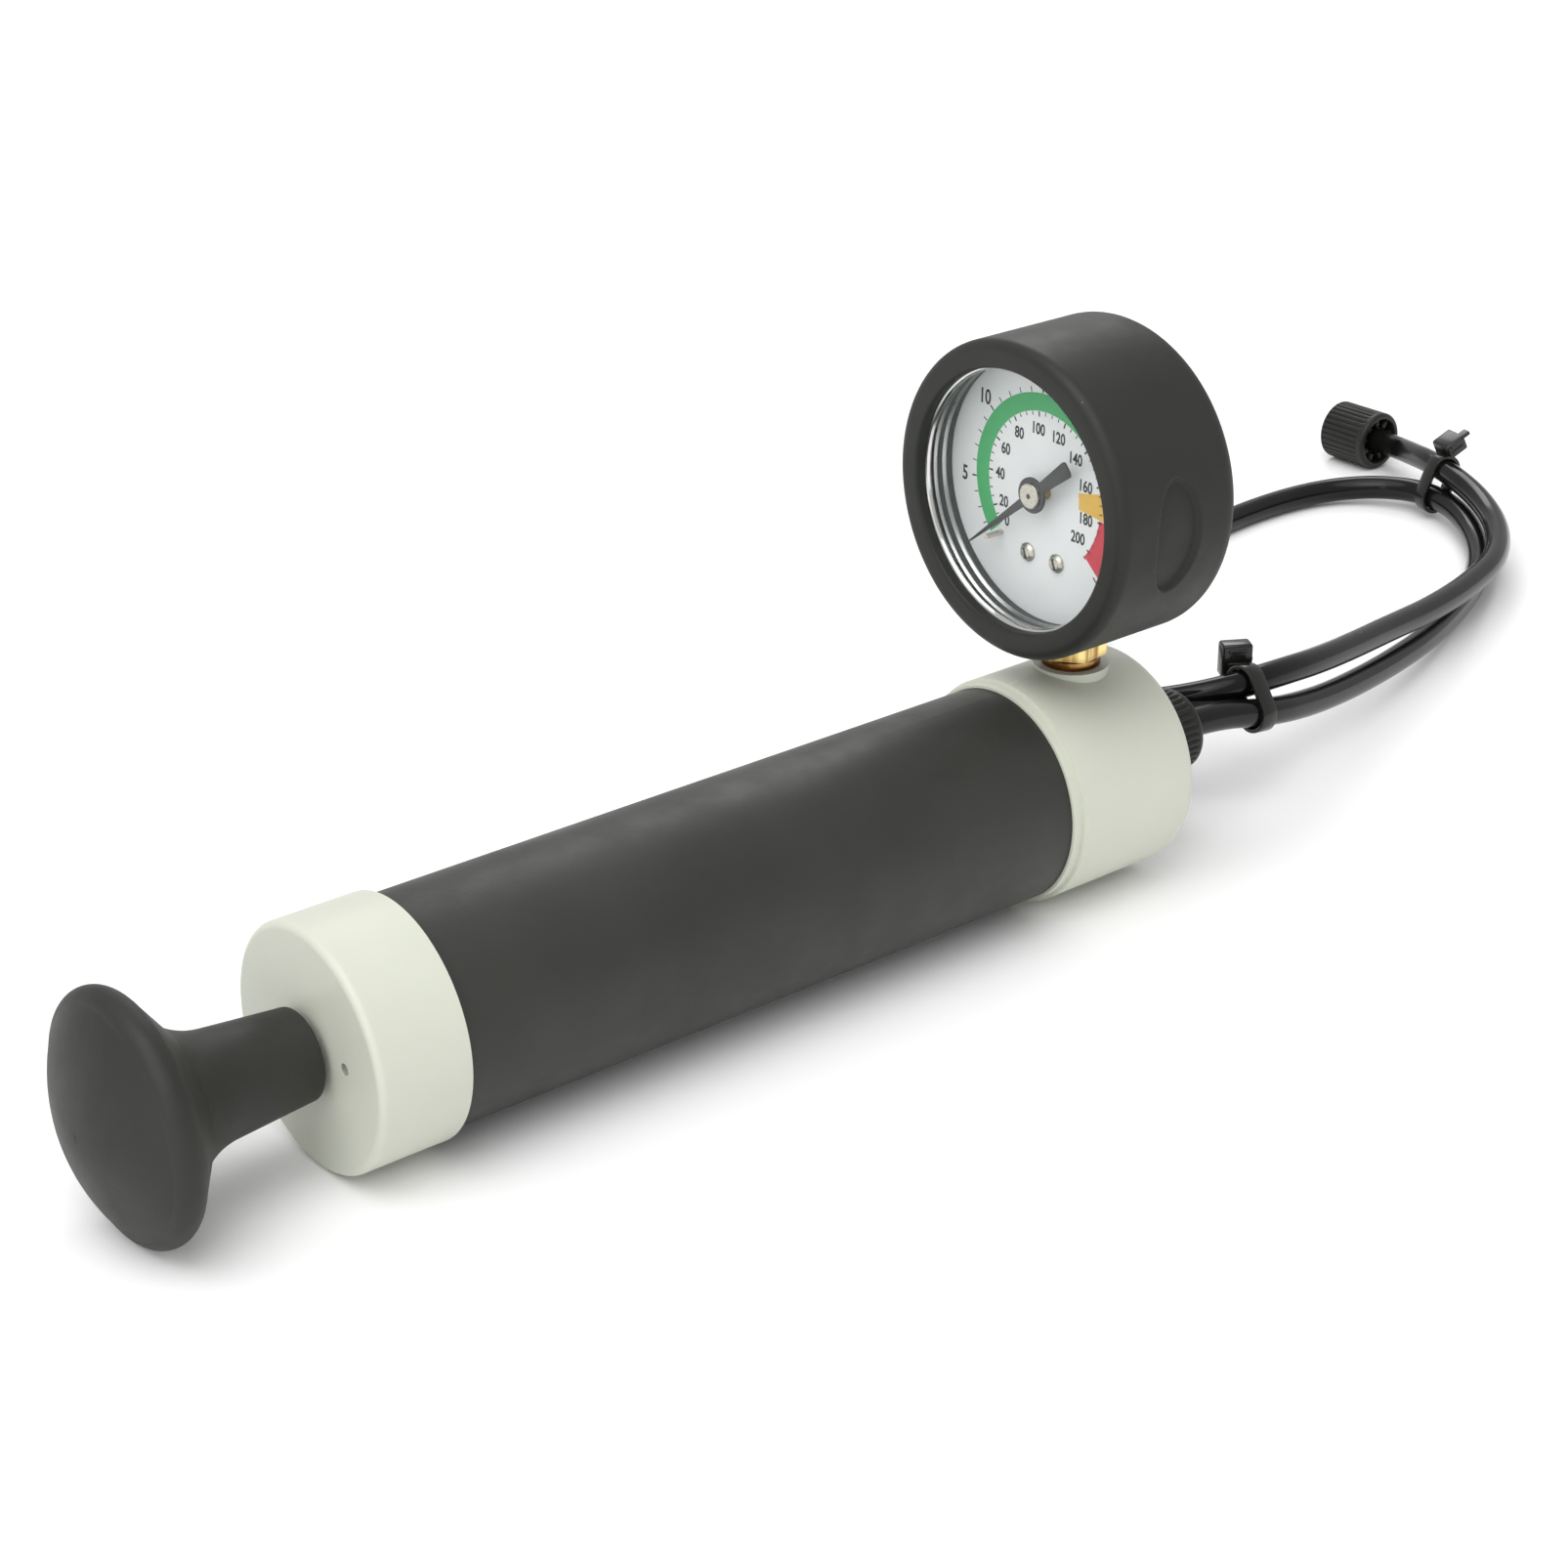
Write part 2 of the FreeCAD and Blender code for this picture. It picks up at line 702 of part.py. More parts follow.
def build_case():
    outer = CASE_OUTER
    inner = CASE_INNER
    front = "boot_lip + bezel_flange + lens_thickness"
    back = "boot_depth - boot_back_wall"
    body = revolved("gauge_case", ON_GAUGE, [
        (front, inner),
        (f"{back} - case_back", inner),
        (f"{back} - case_back", 0),
        (back, 0),
        (back, outer),
        (front, outer),
    ])
    cut(body, "case_stem_hole", "XY_Plane", lambda sketch: ring_mark(sketch, "stem_back", 0, "neck_stem_radius"),
        "boot_wall + 3 * cut_over", f"-({outer}) - cut_over", reverse=True)
    rim = "boot_radius - boot_wall - case_fit"
    revolved("gauge_bezel", ON_GAUGE, [
        ("boot_lip", "bezel_opening"),
        ("boot_lip + bezel_flange / 2", "bezel_opening - bezel_bead"),
        ("boot_lip + bezel_flange", "bezel_opening"),
        ("boot_lip + bezel_flange", outer),
        ("boot_lip + bezel_flange + bezel_skirt", outer),
        ("boot_lip + bezel_flange + bezel_skirt", rim),
        ("boot_lip", rim),
    ])
    revolved("gauge_lens", ON_GAUGE, disc_profile("boot_lip + bezel_flange", front, f"{outer} - case_fit"))
    revolved("dial_spacer_ring", ON_GAUGE, tube_profile(front, "dial_x - case_fit", f"{inner} - cap_fit", f"{inner} - cap_fit - case_wall"))


def build_dial():
    outer = f"{CASE_INNER} - cap_fit"
    body = new_body("gauge_dial", along(ON_GAUGE, "dial_x"))

    def face(sketch):
        ring_mark(sketch, 0, 0, outer)
        ring_mark(sketch, 0, 0, "dial_hole")
        ring_mark(sketch, "dial_screw_x", "dial_screw_z", "dial_screw_radius + case_fit")
        ring_mark(sketch, "-dial_screw_x", "dial_screw_z", "dial_screw_radius + case_fit")

    padded(body, "dial_plate", "YZ_Plane", face, "dial_thickness")
    screws = []
    for side in (-1, 1):
        screw = doc.addObject("Part::Cylinder", f"dial_screw_shank_{side + 2}")
        bind(screw, "Radius", "dial_screw_radius")
        bind(screw, "Height", "front_plate_x + plate_thickness - dial_x")
        head = doc.addObject("Part::Cylinder", f"dial_screw_head_{side + 2}")
        bind(head, "Radius", "dial_screw_radius * 2")
        bind(head, "Height", "dial_screw_radius")
        turned = Rotation(Vector(0, 1, 0), 90)
        spot = Vector(0, value(f"dial_screw_x * {side}"), value("dial_screw_z"))
        screw.Placement = Placement(spot, turned)
        head.Placement = Placement(spot - Vector(value("dial_screw_radius"), 0, 0), turned)
        joined = doc.addObject("Part::Fuse", f"dial_screw_{side + 2}")
        joined.Base = screw
        joined.Tool = head
        screws.append(joined)
    group = doc.addObject("Part::Compound", "dial_screws")
    group.Links = screws
    keep(group, "dial_screws", along(ON_GAUGE, "dial_x"))
    pin_angle = math.radians(value("zero_pin_angle"))
    pin = doc.addObject("Part::Cylinder", "zero_stop_pin")
    bind(pin, "Radius", "zero_pin_radius")
    bind(pin, "Height", "dial_x - pointer_x + zero_pin_rise")
    reach = value("zero_pin_reach")
    spot = Vector(value("pointer_x - zero_pin_rise"), reach * math.cos(pin_angle), reach * math.sin(pin_angle))
    keep(pin, "zero_stop_pin", ON_GAUGE * Placement(spot, Rotation(Vector(0, 1, 0), 90)))


def build_stem():
    port_bottom = "cap_radius + boss_rise - port_depth"
    seat = "cap_radius + boss_rise"
    hex_start = f"{seat} + collar_height"
    hole = "passage_radius"
    body = stood("gauge_stem", ON_STEM, [
        (hole, f"{port_bottom} + seal_washer"),
        (hole, f"{BLOCK_BOTTOM} + socket_block_foot"),
        ("neck_stem_radius - cap_fit", f"{BLOCK_BOTTOM} + socket_block_foot"),
        ("neck_stem_radius - cap_fit", hex_start),
        ("collar_radius - collar_edge", hex_start),
        ("collar_radius", f"{hex_start} - collar_edge"),
        ("collar_radius", seat),
        ("port_radius - cap_fit", seat),
        ("port_radius - cap_fit", f"{port_bottom} + seal_washer"),
    ])

    def hexagon(sketch):
        hexagon_outline(sketch, "hex_across", "hex_turn")
        ring_mark(sketch, 0, 0, hole)

    padded(body, "spanner_hex", "XY_Plane", hexagon, "hex_height", hex_start)

    def block(sketch):
        half_depth = "socket_block_depth / 2"
        half_width = "socket_block_width / 2"
        outline(sketch, [(f"-{half_depth}", f"-{half_width}"), (half_depth, f"-{half_width}"),
                         (half_depth, half_width), (f"-{half_depth}", half_width)])

    padded(body, "socket_block", "XY_Plane", block, "socket_block_height", BLOCK_BOTTOM)
    stood("stem_seal_washer", ON_STEM, [
        ("passage_radius", port_bottom),
        ("port_radius - cap_fit", port_bottom),
        ("port_radius - cap_fit", f"{port_bottom} + seal_washer"),
        ("passage_radius", f"{port_bottom} + seal_washer"),
    ])


def polar(radius, angle):
    """Point of the YZ plane at an angle in degrees from +Y."""
    turn = math.radians(angle)
    return Vector(0, radius * math.cos(turn), radius * math.sin(turn))


def ring_sector(inner, outer, first, last, depth):
    """Solid of a flat ring sector in the YZ plane, angles in degrees from +Y."""
    middle = (first + last) / 2
    outside = Part.Arc(polar(outer, first), polar(outer, middle), polar(outer, last)).toShape()
    inside = Part.Arc(polar(inner, last), polar(inner, middle), polar(inner, first)).toShape()
    ends = [Part.makeLine(polar(outer, last), polar(inner, last)),
            Part.makeLine(polar(inner, first), polar(outer, first))]
    face = Part.Face(Part.Wire([outside, ends[0], inside, ends[1]]))
    return face.extrude(Vector(depth, 0, 0))


def build_bourdon_tube():
    """Flat curved tube from the socket block round to its closed tip."""
    radius = value("tube_coil_radius")
    half = value("tube_coil_thickness / 2")
    block_side = value("socket_block_width / 2")
    tip = value("tube_tip_angle")
    start = -math.degrees(math.acos(value("socket_block_width / 2 - tube_root") / radius))
    block = Part.makeBox(value("tube_coil_width"), 2 * block_side, 2 * radius, Vector(0, -block_side, -2 * radius))
    tube = ring_sector(radius - half, radius + half, start, tip, value("tube_coil_width")).cut(block)
    piece = doc.addObject("Part::Feature", "bourdon_tube")
    piece.Shape = tube
    keep(piece, "bourdon_tube", along(ON_GAUGE, "stem_back - tube_coil_width / 2"))
    cap_start = f"{LINK_X} + link_thickness + tube_tip_gap"
    cap_wide = half + value("tube_tip_wall")
    depth = value(f"stem_back + tube_coil_width / 2 - ({cap_start})")
    cap = ring_sector(radius - cap_wide, radius + cap_wide, tip, tip + value("tube_tip_sweep"), depth)
    end = doc.addObject("Part::Feature", "bourdon_tube_tip")
    end.Shape = cap
    keep(end, "bourdon_tube_tip", along(ON_GAUGE, cap_start))


def pinion_radius():
    return value("gear_module * pinion_teeth / 2")


def sector_radius():
    return value("gear_module * sector_teeth / 2")


def sector_pivot():
    return -(pinion_radius() + sector_radius() + value("pivot_fit"))


def gear_outline(teeth, first, count):
    """Corners of trapezoid teeth about the origin in the YZ plane."""
    module = value("gear_module")
    pitch_radius = module * teeth / 2
    root = pitch_radius - TOOTH_ROOT * module
    tip = pitch_radius + TOOTH_TIP * module
    step = 360 / teeth
    points = []
    for index in range(count):
        middle = first + index * step
        for radius, share in ((root, -TOOTH_ROOT_SHARE), (tip, -TOOTH_TIP_SHARE), (tip, TOOTH_TIP_SHARE),
                              (root, TOOTH_ROOT_SHARE)):
            points.append(polar(radius, middle + share * step))
    return points


def build_pointer():
    arbor = doc.addObject("Part::Cylinder", "pinion_shaft")
    bind(arbor, "Radius", "arbor_radius")
    bind(arbor, "Height", "front_plate_x + 2 * plate_thickness + plate_space - pointer_x")
    arbor.Placement = Placement(Vector(), Rotation(Vector(0, 1, 0), 90))
    points = gear_outline(round(value("pinion_teeth")), UPWARD, round(value("pinion_teeth")))
    wheel = Part.Face(Part.makePolygon(points + points[:1])).extrude(Vector(value("gear_width + 2 * case_fit"), 0, 0))
    wheel.translate(Vector(value("front_plate_x + plate_thickness + gear_lift - case_fit - pointer_x"), 0, 0))
    teeth = doc.addObject("Part::Feature", "pinion_teeth_block")
    teeth.Shape = wheel
    joined = doc.addObject("Part::Fuse", "pinion_arbor")
    joined.Base = arbor
    joined.Tool = teeth
    keep(joined, "pinion_arbor", along(ON_GAUGE, "pointer_x"))

    turned = along(ON_GAUGE, "pointer_x") * Placement(Vector(), Rotation(Vector(1, 0, 0), value("pointer_zero")))
    needle = new_body("gauge_pointer", turned)

    def blade(sketch):
        outline(sketch, [
            ("-pointer_tail", "pointer_tail_half"), ("-pointer_tail", "-pointer_tail_half"),
            ("-pointer_hub", "-pointer_neck_half"), ("pointer_hub", "-pointer_root"),
            ("pointer_reach", "-pointer_tip"), ("pointer_reach", "pointer_tip"),
            ("pointer_hub", "pointer_root"), ("-pointer_hub", "pointer_neck_half")])
        ring_mark(sketch, 0, 0, "arbor_radius")

    padded(needle, "needle_blade", "YZ_Plane", blade, "pointer_thickness")

    def hub(sketch):
        ring_mark(sketch, 0, 0, "pointer_hub")
        ring_mark(sketch, 0, 0, "arbor_radius")

    padded(needle, "needle_hub", "YZ_Plane", hub, "pointer_thickness")
    cap = revolved("pointer_cap", along(ON_GAUGE, "pointer_x - pointer_cap_length"),
                   disc_profile(0, "pointer_cap_length", "pointer_cap_radius"))
    rounded(cap, "cap_edge_round", "pointer_cap_round", (0, "pointer_cap_radius"))


def tail_end():
    """End of the sector's tail, from the sector's pivot."""
    angle = 180 + value("pointer_sweep * pinion_teeth / sector_teeth / 2")
    return polar(value("sector_tail"), angle)


def build_sector():
    """Toothed sector on its pivot, with the tail that the link pulls."""
    lean = value("pointer_sweep * pinion_teeth / sector_teeth / 2")
    step = 360 / value("sector_teeth")
    middle = UPWARD + lean
    half_count = math.ceil((lean + step) / step)
    # A gap of the sector faces the pinion tooth that points down at rest.
    first = UPWARD + step / 2
    while first > middle - half_count * step:
        first -= step
    points = gear_outline(round(value("sector_teeth")), first, 2 * half_count + 1)
    width = value("gear_width")
    hub = value("sector_hub")
    flank = [polar(hub, middle + value("sector_flank")), polar(hub, middle - value("sector_flank"))]
    plate = Part.Face(Part.makePolygon(points + flank + points[:1])).extrude(Vector(width, 0, 0))
    rim = sector_radius() - 2 * value("gear_module") - value("sector_rim")
    opening = ring_sector(2 * hub, rim, middle - lean / 2, middle + lean / 2, width)
    disc = Part.makeCylinder(hub, width, Vector(), Vector(1, 0, 0))
    end = tail_end()
    half = value("sector_tail_width / 2")
    across = polar(half, middle)
    tail = Part.Face(Part.makePolygon([across, across * -1, end - across, end + across, across]))
    eye = Part.makeCylinder(half, width, end, Vector(1, 0, 0))
    holes = [Part.makeCylinder(value("staff_radius + pivot_fit"), width, Vector(), Vector(1, 0, 0)),
             Part.makeCylinder(value("link_pin + pivot_fit"), width, end, Vector(1, 0, 0))]
    arm = tail.extrude(Vector(width, 0, 0))
    sector = doc.addObject("Part::Feature", "sector_gear")
    sector.Shape = plate.cut(opening).fuse([disc, arm, eye]).cut(holes).removeSplitter()
    layer = value("front_plate_x + plate_thickness + gear_lift")
    keep(sector, "sector_gear", ON_GAUGE * Placement(Vector(layer, 0, sector_pivot()), Rotation()))


def build_link():
    """Flat link from the sector's tail to the tip of the pressure tube."""
    thickness = value("link_thickness")
    near = tail_end() + Vector(0, 0, sector_pivot())
    far = polar(value("tube_coil_radius"), value("tube_tip_angle + tube_tip_sweep / 2"))
    way = (far - near).normalize()
    across = Vector(0, -way.z, way.y) * value("link_width / 2")
    bar = Part.Face(Part.makePolygon([near + across, near - across, far - across, far + across, near + across]))
    eyes = [Part.makeCylinder(value("link_eye"), thickness, spot, Vector(1, 0, 0)) for spot in (near, far)]
    reach = value("gear_width + 2 * link_lift")
    pin = Part.makeCylinder(value("link_pin"), thickness + reach, near - Vector(reach, 0, 0), Vector(1, 0, 0))
    link = doc.addObject("Part::Feature", "movement_link")
    link.Shape = bar.extrude(Vector(thickness, 0, 0)).fuse(eyes + [pin]).removeSplitter()
    keep(link, "movement_link", along(ON_GAUGE, LINK_X))


def build_plates():
    """Two plates on four pillars that carry the arbor and the sector's staff."""
    width = "plate_half_width"
    shoulder = "plate_top - plate_corner"
    corners = [(f"-{width}", "plate_bottom"), (width, "plate_bottom"), (width, shoulder),
               (f"{width} - plate_corner", "plate_top"), (f"-{width} + plate_corner", "plate_top"),
               (f"-{width}", shoulder)]
    pivot = "-(gear_module * (pinion_teeth + sector_teeth) / 2 + pivot_fit)"
    back_x = "front_plate_x + plate_thickness + plate_space"
    for label, x, screwed in (("movement_front_plate", "front_plate_x", True), ("movement_back_plate", back_x, False)):
        body = new_body(label, along(ON_GAUGE, x))

        def shape(sketch):
            outline(sketch, corners)
            ring_mark(sketch, 0, 0, "arbor_radius + pivot_fit")
            ring_mark(sketch, 0, pivot, "staff_radius")
            if screwed:
                ring_mark(sketch, "dial_screw_x", "dial_screw_z", "dial_screw_radius")
                ring_mark(sketch, "-dial_screw_x", "dial_screw_z", "dial_screw_radius")

        padded(body, f"{label}_blank", "YZ_Plane", shape, "plate_thickness")
    posts = []
    reach = value("plate_half_width - pillar_inset")
    low = value("pillar_low")
    for number, (y, z) in enumerate(((reach, 0), (-reach, 0), (reach, low), (-reach, low)), start=1):
        post = doc.addObject("Part::Cylinder", f"movement_pillar_{number}")
        bind(post, "Radius", "pillar_radius")
        bind(post, "Height", "plate_space")
        post.Placement = Placement(Vector(0, y, z), Rotation(Vector(0, 1, 0), 90))
        posts.append(post)
    group = doc.addObject("Part::Compound", "movement_pillars")
    group.Links = posts
    keep(group, "movement_pillars", along(ON_GAUGE, "front_plate_x + plate_thickness"))
    staff = doc.addObject("Part::Cylinder", "sector_staff")
    bind(staff, "Radius", "staff_radius")
    bind(staff, "Height", "plate_space + 2 * plate_thickness")
    spot = Vector(value("front_plate_x"), 0, sector_pivot())
    keep(staff, "sector_staff", ON_GAUGE * Placement(spot, Rotation(Vector(0, 1, 0), 90)))


def build_hair_spring():
    """Flat spiral of half-circle steps round the arbor."""
    step = value("hair_spring_pitch")
    strip = value("hair_spring_strip")
    inside = []
    outside = []
    radius = value("hair_spring_radius")
    for half_turn in range(round(value("hair_spring_half_turns"))):
        shift = 0 if half_turn % 2 == 0 else step / 2
        up = 1 if half_turn % 2 == 0 else -1
        for edges, size in ((inside, radius), (outside, radius + strip)):
            start = Vector(0, shift + up * size, 0)
            top = Vector(0, shift, up * size)
            end = Vector(0, shift - up * size, 0)
            edges.append(Part.Arc(start, top, end).toShape())
        radius += step / 2
    first = Part.makeLine(inside[0].Vertexes[0].Point, outside[0].Vertexes[0].Point)
    last = Part.makeLine(inside[-1].Vertexes[-1].Point, outside[-1].Vertexes[-1].Point)
    face = Part.Face(Part.Wire(Part.__sortEdges__(inside + outside + [first, last])))
    spring = doc.addObject("Part::Feature", "hair_spring")
    spring.Shape = face.extrude(Vector(value("hair_spring_width"), 0, 0))
    keep(spring, "hair_spring", along(ON_GAUGE, "front_plate_x + plate_thickness + case_fit"))


# Hose

def hose_points():
    """The route from the barb's flange on, in the frame of the whole."""
    start = value("outlet_cap_start + outlet_cap_length + spigot_length + barb_flange")
    return [Vector(x - MID_X, y, z) for x, y, z in [(start, 0, AXIS_Z)] + HOSE_ROUTE]


def tangent_route(points):
    """Straight runs joined by tangent arcs, each as large as its two runs allow."""
    edges = []
    radii = []
    here = points[0]
    for before, corner, after in zip(points, points[1:], points[2:]):
        back = (before - corner).normalize()
        ahead = (after - corner).normalize()
        turn = math.pi - back.getAngle(ahead)
        room = BEND_SHARE * min((before - corner).Length, (after - corner).Length)
        radius = room / math.tan(turn / 2)
        start = corner + back * room
        end = corner + ahead * room
        middle = corner + (back + ahead).normalize() * (radius / math.cos(turn / 2) - radius)
        edges.append(Part.LineSegment(here, start).toShape())
        edges.append(Part.Arc(start, middle, end).toShape())
        radii.append(radius)
        here = end
    edges.append(Part.LineSegment(here, points[-1]).toShape())
    return Part.Wire(edges), radii


def self_gap(path, diameter):
    """Least distance between stretches of the hose that are not neighbours along it."""
    spots = path.discretize(Distance=LOOK_STEP)
    apart = int(3 * diameter / LOOK_STEP)
    least = min((a - b).Length for i, a in enumerate(spots) for b in spots[i + apart:])
    return least - diameter


def build_hose():
    points = hose_points()
    path, radii = tangent_route(points)
    outer = value("hose_radius")
    inner = value("hose_bore")
    start = points[0]
    way = (points[1] - start).normalize()
    profiles = [Part.Wire(Part.Circle(start, way, radius).toShape()) for radius in (outer, inner)]
    solids = [path.makePipeShell([profile], True, False, 2) for profile in profiles]
    tube = solids[0].cut(solids[1])
    hose = doc.addObject("Part::Feature", "test_hose")
    hose.Shape = tube
    keep(hose, "test_hose", Placement())
    ideal = math.pi * (outer ** 2 - inner ** 2) * path.Length
    print("hose length", round(path.Length, 1), "volume ratio", round(tube.Volume / ideal, 4))
    print("radii", [round(radius) for radius in radii])
    print("least gap to itself", round(self_gap(path, 2 * outer), 2), "lowest", round(tube.BoundBox.ZMin, 2))
    return path


def end_place():
    points = hose_points()
    way = (points[-1] - points[-2]).normalize()
    return Placement(points[-1], Rotation(Vector(1, 0, 0), way))


def ribbed(body, label, radius, start, end, count):
    def rib(sketch):
        outline(sketch, [("-rib_width / 2", f"{radius} - rib_height"), ("rib_width / 2", f"{radius} - rib_height"),
                         ("rib_width / 4", f"{radius} + rib_height"), ("-rib_width / 4", f"{radius} + rib_height")])

    first = padded(body, f"{label}_rib", "YZ_Plane", rib, f"{end} - ({start})", start)
    around(body, f"{label}_ribs", first, count)


def build_outlet_fitting():
    cap_end = "outlet_cap_start + outlet_cap_length"
    spigot_end = f"{cap_end} + spigot_length"
    nut_end = f"{cap_end} + outlet_nut_length"
    flange_end = f"{spigot_end} + barb_flange"
    barb_end = f"{flange_end} + outlet_barb_length"
    revolved("hose_barb", ON_PUMP, [
        (spigot_end, "barb_hole"),
        (barb_end, "barb_hole"),
        (barb_end, "barb_radius - barb_taper"),
        (f"{barb_end} - 3 * barb_taper", "barb_radius"),
        (flange_end, "barb_radius"),
        (flange_end, "spigot_radius"),
        (spigot_end, "spigot_radius"),
    ])
    body = revolved("outlet_nut", ON_PUMP, [
        (cap_end, "spigot_radius + cap_fit"),
        (f"{flange_end} + cap_fit", "spigot_radius + cap_fit"),
        (f"{flange_end} + cap_fit", "hose_radius + hose_clear"),
        (nut_end, "hose_radius + hose_clear"),
        (nut_end, "outlet_nut_radius - rib_height"),
        (cap_end, "outlet_nut_radius - rib_height"),
    ])
    ribbed(body, "outlet_nut", "outlet_nut_radius - rib_height", f"{cap_end} + rib_height", f"{nut_end} - rib_height",
           "outlet_nut_ribs")


def build_end_fitting():
    place = end_place()
    hole = "hose_radius + hose_clear"
    revolved("end_tail", place, [
        ("-end_barb_length", "barb_hole"),
        ("tail_flange", "barb_hole"),
        ("tail_flange", "tail_flange_radius"),
        (0, "tail_flange_radius"),
        (0, "barb_radius"),
        ("-end_barb_length + 3 * barb_taper", "barb_radius"),
        ("-end_barb_length", "barb_radius - barb_taper"),
    ])
    revolved("end_washer", place,
             tube_profile("tail_flange", "tail_flange + end_washer", "tail_flange_radius", "washer_hole"))
    back = "-(end_nut_recess + end_nut_wall + seat_gap)"
    mouth = f"{back} + end_nut_length"
    body = revolved("end_nut", place, [
        (back, "end_nut_recess_radius"),
        (f"{back} + end_nut_recess", "end_nut_recess_radius"),
        (f"{back} + end_nut_recess", hole),
        ("-seat_gap", hole),
        ("-seat_gap", "end_thread_radius + thread_relief"),
        ("tail_flange + end_washer + seat_gap", "end_thread_radius + thread_relief"),
        ("tail_flange + end_washer + seat_gap", "end_thread_radius"),
        (mouth, "end_thread_radius"),
        (mouth, "end_nut_radius - rib_height"),
        (back, "end_nut_radius - rib_height"),
    ])
    ribbed(body, "end_nut", "end_nut_radius - rib_height", back, f"{mouth} - rib_height", "end_nut_ribs")


def tie_round(label, first, second, way, tail, sleeve):
    """Cable tie pulled tight round two strands that lie side by side, clear of the sleeve."""
    reach = value("hose_radius + tie_slack")
    thickness = value("tie_thickness")
    width = value("tie_width")
    across = (second - first).normalize()
    way = (way - across * way.dot(across)).normalize()
    side = way.cross(across)

    def band(radius):
        a = first - way * (width / 2)
        b = second - way * (width / 2)
        arcs = [Part.Arc(a + side * radius, a - across * radius, a - side * radius).toShape(),
                Part.Arc(b - side * radius, b + across * radius, b + side * radius).toShape()]
        lines = [Part.makeLine(a - side * radius, b - side * radius), Part.makeLine(b + side * radius, a + side * radius)]
        wire = Part.Wire([arcs[0], lines[0], arcs[1], lines[1]])
        return Part.Face(wire).extrude(way * width)

    strap = band(reach + thickness).cut(band(reach))
    head = value("tie_head")
    height = value("tie_head_height")
    seat = second + across * (reach + thickness / 2)
    turned = Rotation(way, side, across, "XYZ")
    box = Part.makeBox(head, head, height)
    box.Placement = Placement(seat - (way + side) * (head / 2), turned)
    strip = Part.makeBox(width / 2, thickness, height + tail)
    strip.Placement = Placement(seat - way * (width / 4) + side * (thickness / 2), turned)
    parts = strap.fuse([box, strip]).removeSplitter().cut(sleeve).Solids
    piece = doc.addObject("Part::Feature", label)
    piece.Shape = max(parts, key=lambda part: part.Volume)
    keep(piece, label, Placement())


def nearest_on(path, spot):
    """Point of the hose's line nearest to a spot, and the direction there."""
    best = min(path.Edges, key=lambda edge: edge.distToShape(Part.Vertex(spot))[0])
    point = best.distToShape(Part.Vertex(spot))[1][0][0]
    return point, best.tangentAt(best.Curve.parameter(point))


def build_ties(path):
    start = path.Vertexes[0].Point
    room = Part.Circle(start, path.Edges[0].tangentAt(0), value("hose_radius + tie_gap")).toShape()
    sleeve = path.makePipeShell([Part.Wire(room)], True, False, 2)
    for label, under, over, tail in (("hose_tie_near", NEAR_TIE_UNDER, NEAR_TIE_OVER, value("near_tie_tail")),
                                     ("hose_tie_far", FAR_TIE_UNDER, FAR_TIE_OVER, value("far_tie_tail"))):
        low, low_way = nearest_on(path, Vector(*under) - Vector(MID_X, 0, 0))
        high, high_way = nearest_on(path, Vector(*over) - Vector(MID_X, 0, 0))
        print(label, "strands apart", round((high - low).Length, 2),
              "turned", round(math.degrees(low_way.getAngle(high_way)), 1))
        tie_round(label, low, high, low_way + high_way, tail, sleeve)


def check_all():
    failed = [item.Name for item in doc.Objects if {"Invalid", "Error"} & set(item.State)]
    for piece in pieces:
        if piece.Shape.isNull() or not piece.Shape.isValid():
            failed.append(piece.Label)
    if failed:
        raise RuntimeError("failed: " + ", ".join(failed))


def write_all():
    os.makedirs("parts", exist_ok=True)
    for piece in pieces:
        piece.Shape.exportStep(f"parts/{piece.Label}.step")


build_barrel()
build_handle_cap()
build_bush()
build_outlet_cap()
build_valve()
build_plunger()
build_boot()
build_case()
build_dial()
build_stem()
build_bourdon_tube()
build_pointer()
build_sector()
build_link()
build_plates()
build_hair_spring()
build_outlet_fitting()
route = build_hose()
build_end_fitting()
build_ties(route)
doc.recompute()
check_all()
write_all()
print(len(pieces), "pieces")
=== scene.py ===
import math
import bmesh
import bpy
from mathutils import Matrix, Vector


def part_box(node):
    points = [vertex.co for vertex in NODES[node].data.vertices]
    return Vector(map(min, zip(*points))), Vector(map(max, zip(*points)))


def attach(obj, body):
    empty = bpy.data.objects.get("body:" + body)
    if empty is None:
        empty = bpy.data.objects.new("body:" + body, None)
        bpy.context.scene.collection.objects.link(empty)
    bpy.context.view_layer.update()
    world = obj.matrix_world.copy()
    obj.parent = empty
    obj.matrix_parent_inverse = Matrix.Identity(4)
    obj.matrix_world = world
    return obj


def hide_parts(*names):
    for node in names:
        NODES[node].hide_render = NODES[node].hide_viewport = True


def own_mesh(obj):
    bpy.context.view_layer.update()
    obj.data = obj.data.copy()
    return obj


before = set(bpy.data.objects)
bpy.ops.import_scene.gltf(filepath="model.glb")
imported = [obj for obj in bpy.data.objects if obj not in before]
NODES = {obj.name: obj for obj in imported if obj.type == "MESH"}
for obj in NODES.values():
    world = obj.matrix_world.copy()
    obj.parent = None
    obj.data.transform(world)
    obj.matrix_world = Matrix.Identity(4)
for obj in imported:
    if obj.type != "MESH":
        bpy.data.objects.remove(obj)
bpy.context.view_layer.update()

# Geometry is written in millimetres in these frames, and finish_mesh scales it to metres.
MM = 0.001
MID_X = 95.45
AXIS_Z = 26.5
CAP_RADIUS = 26.5
CAP_END = 221.4
BOOT_FRONT_X = 183.8
GAUGE_RISE = 70.6
DIAL_X = 11.6
PUMP = Matrix.Translation((-MID_X, 0, AXIS_Z))
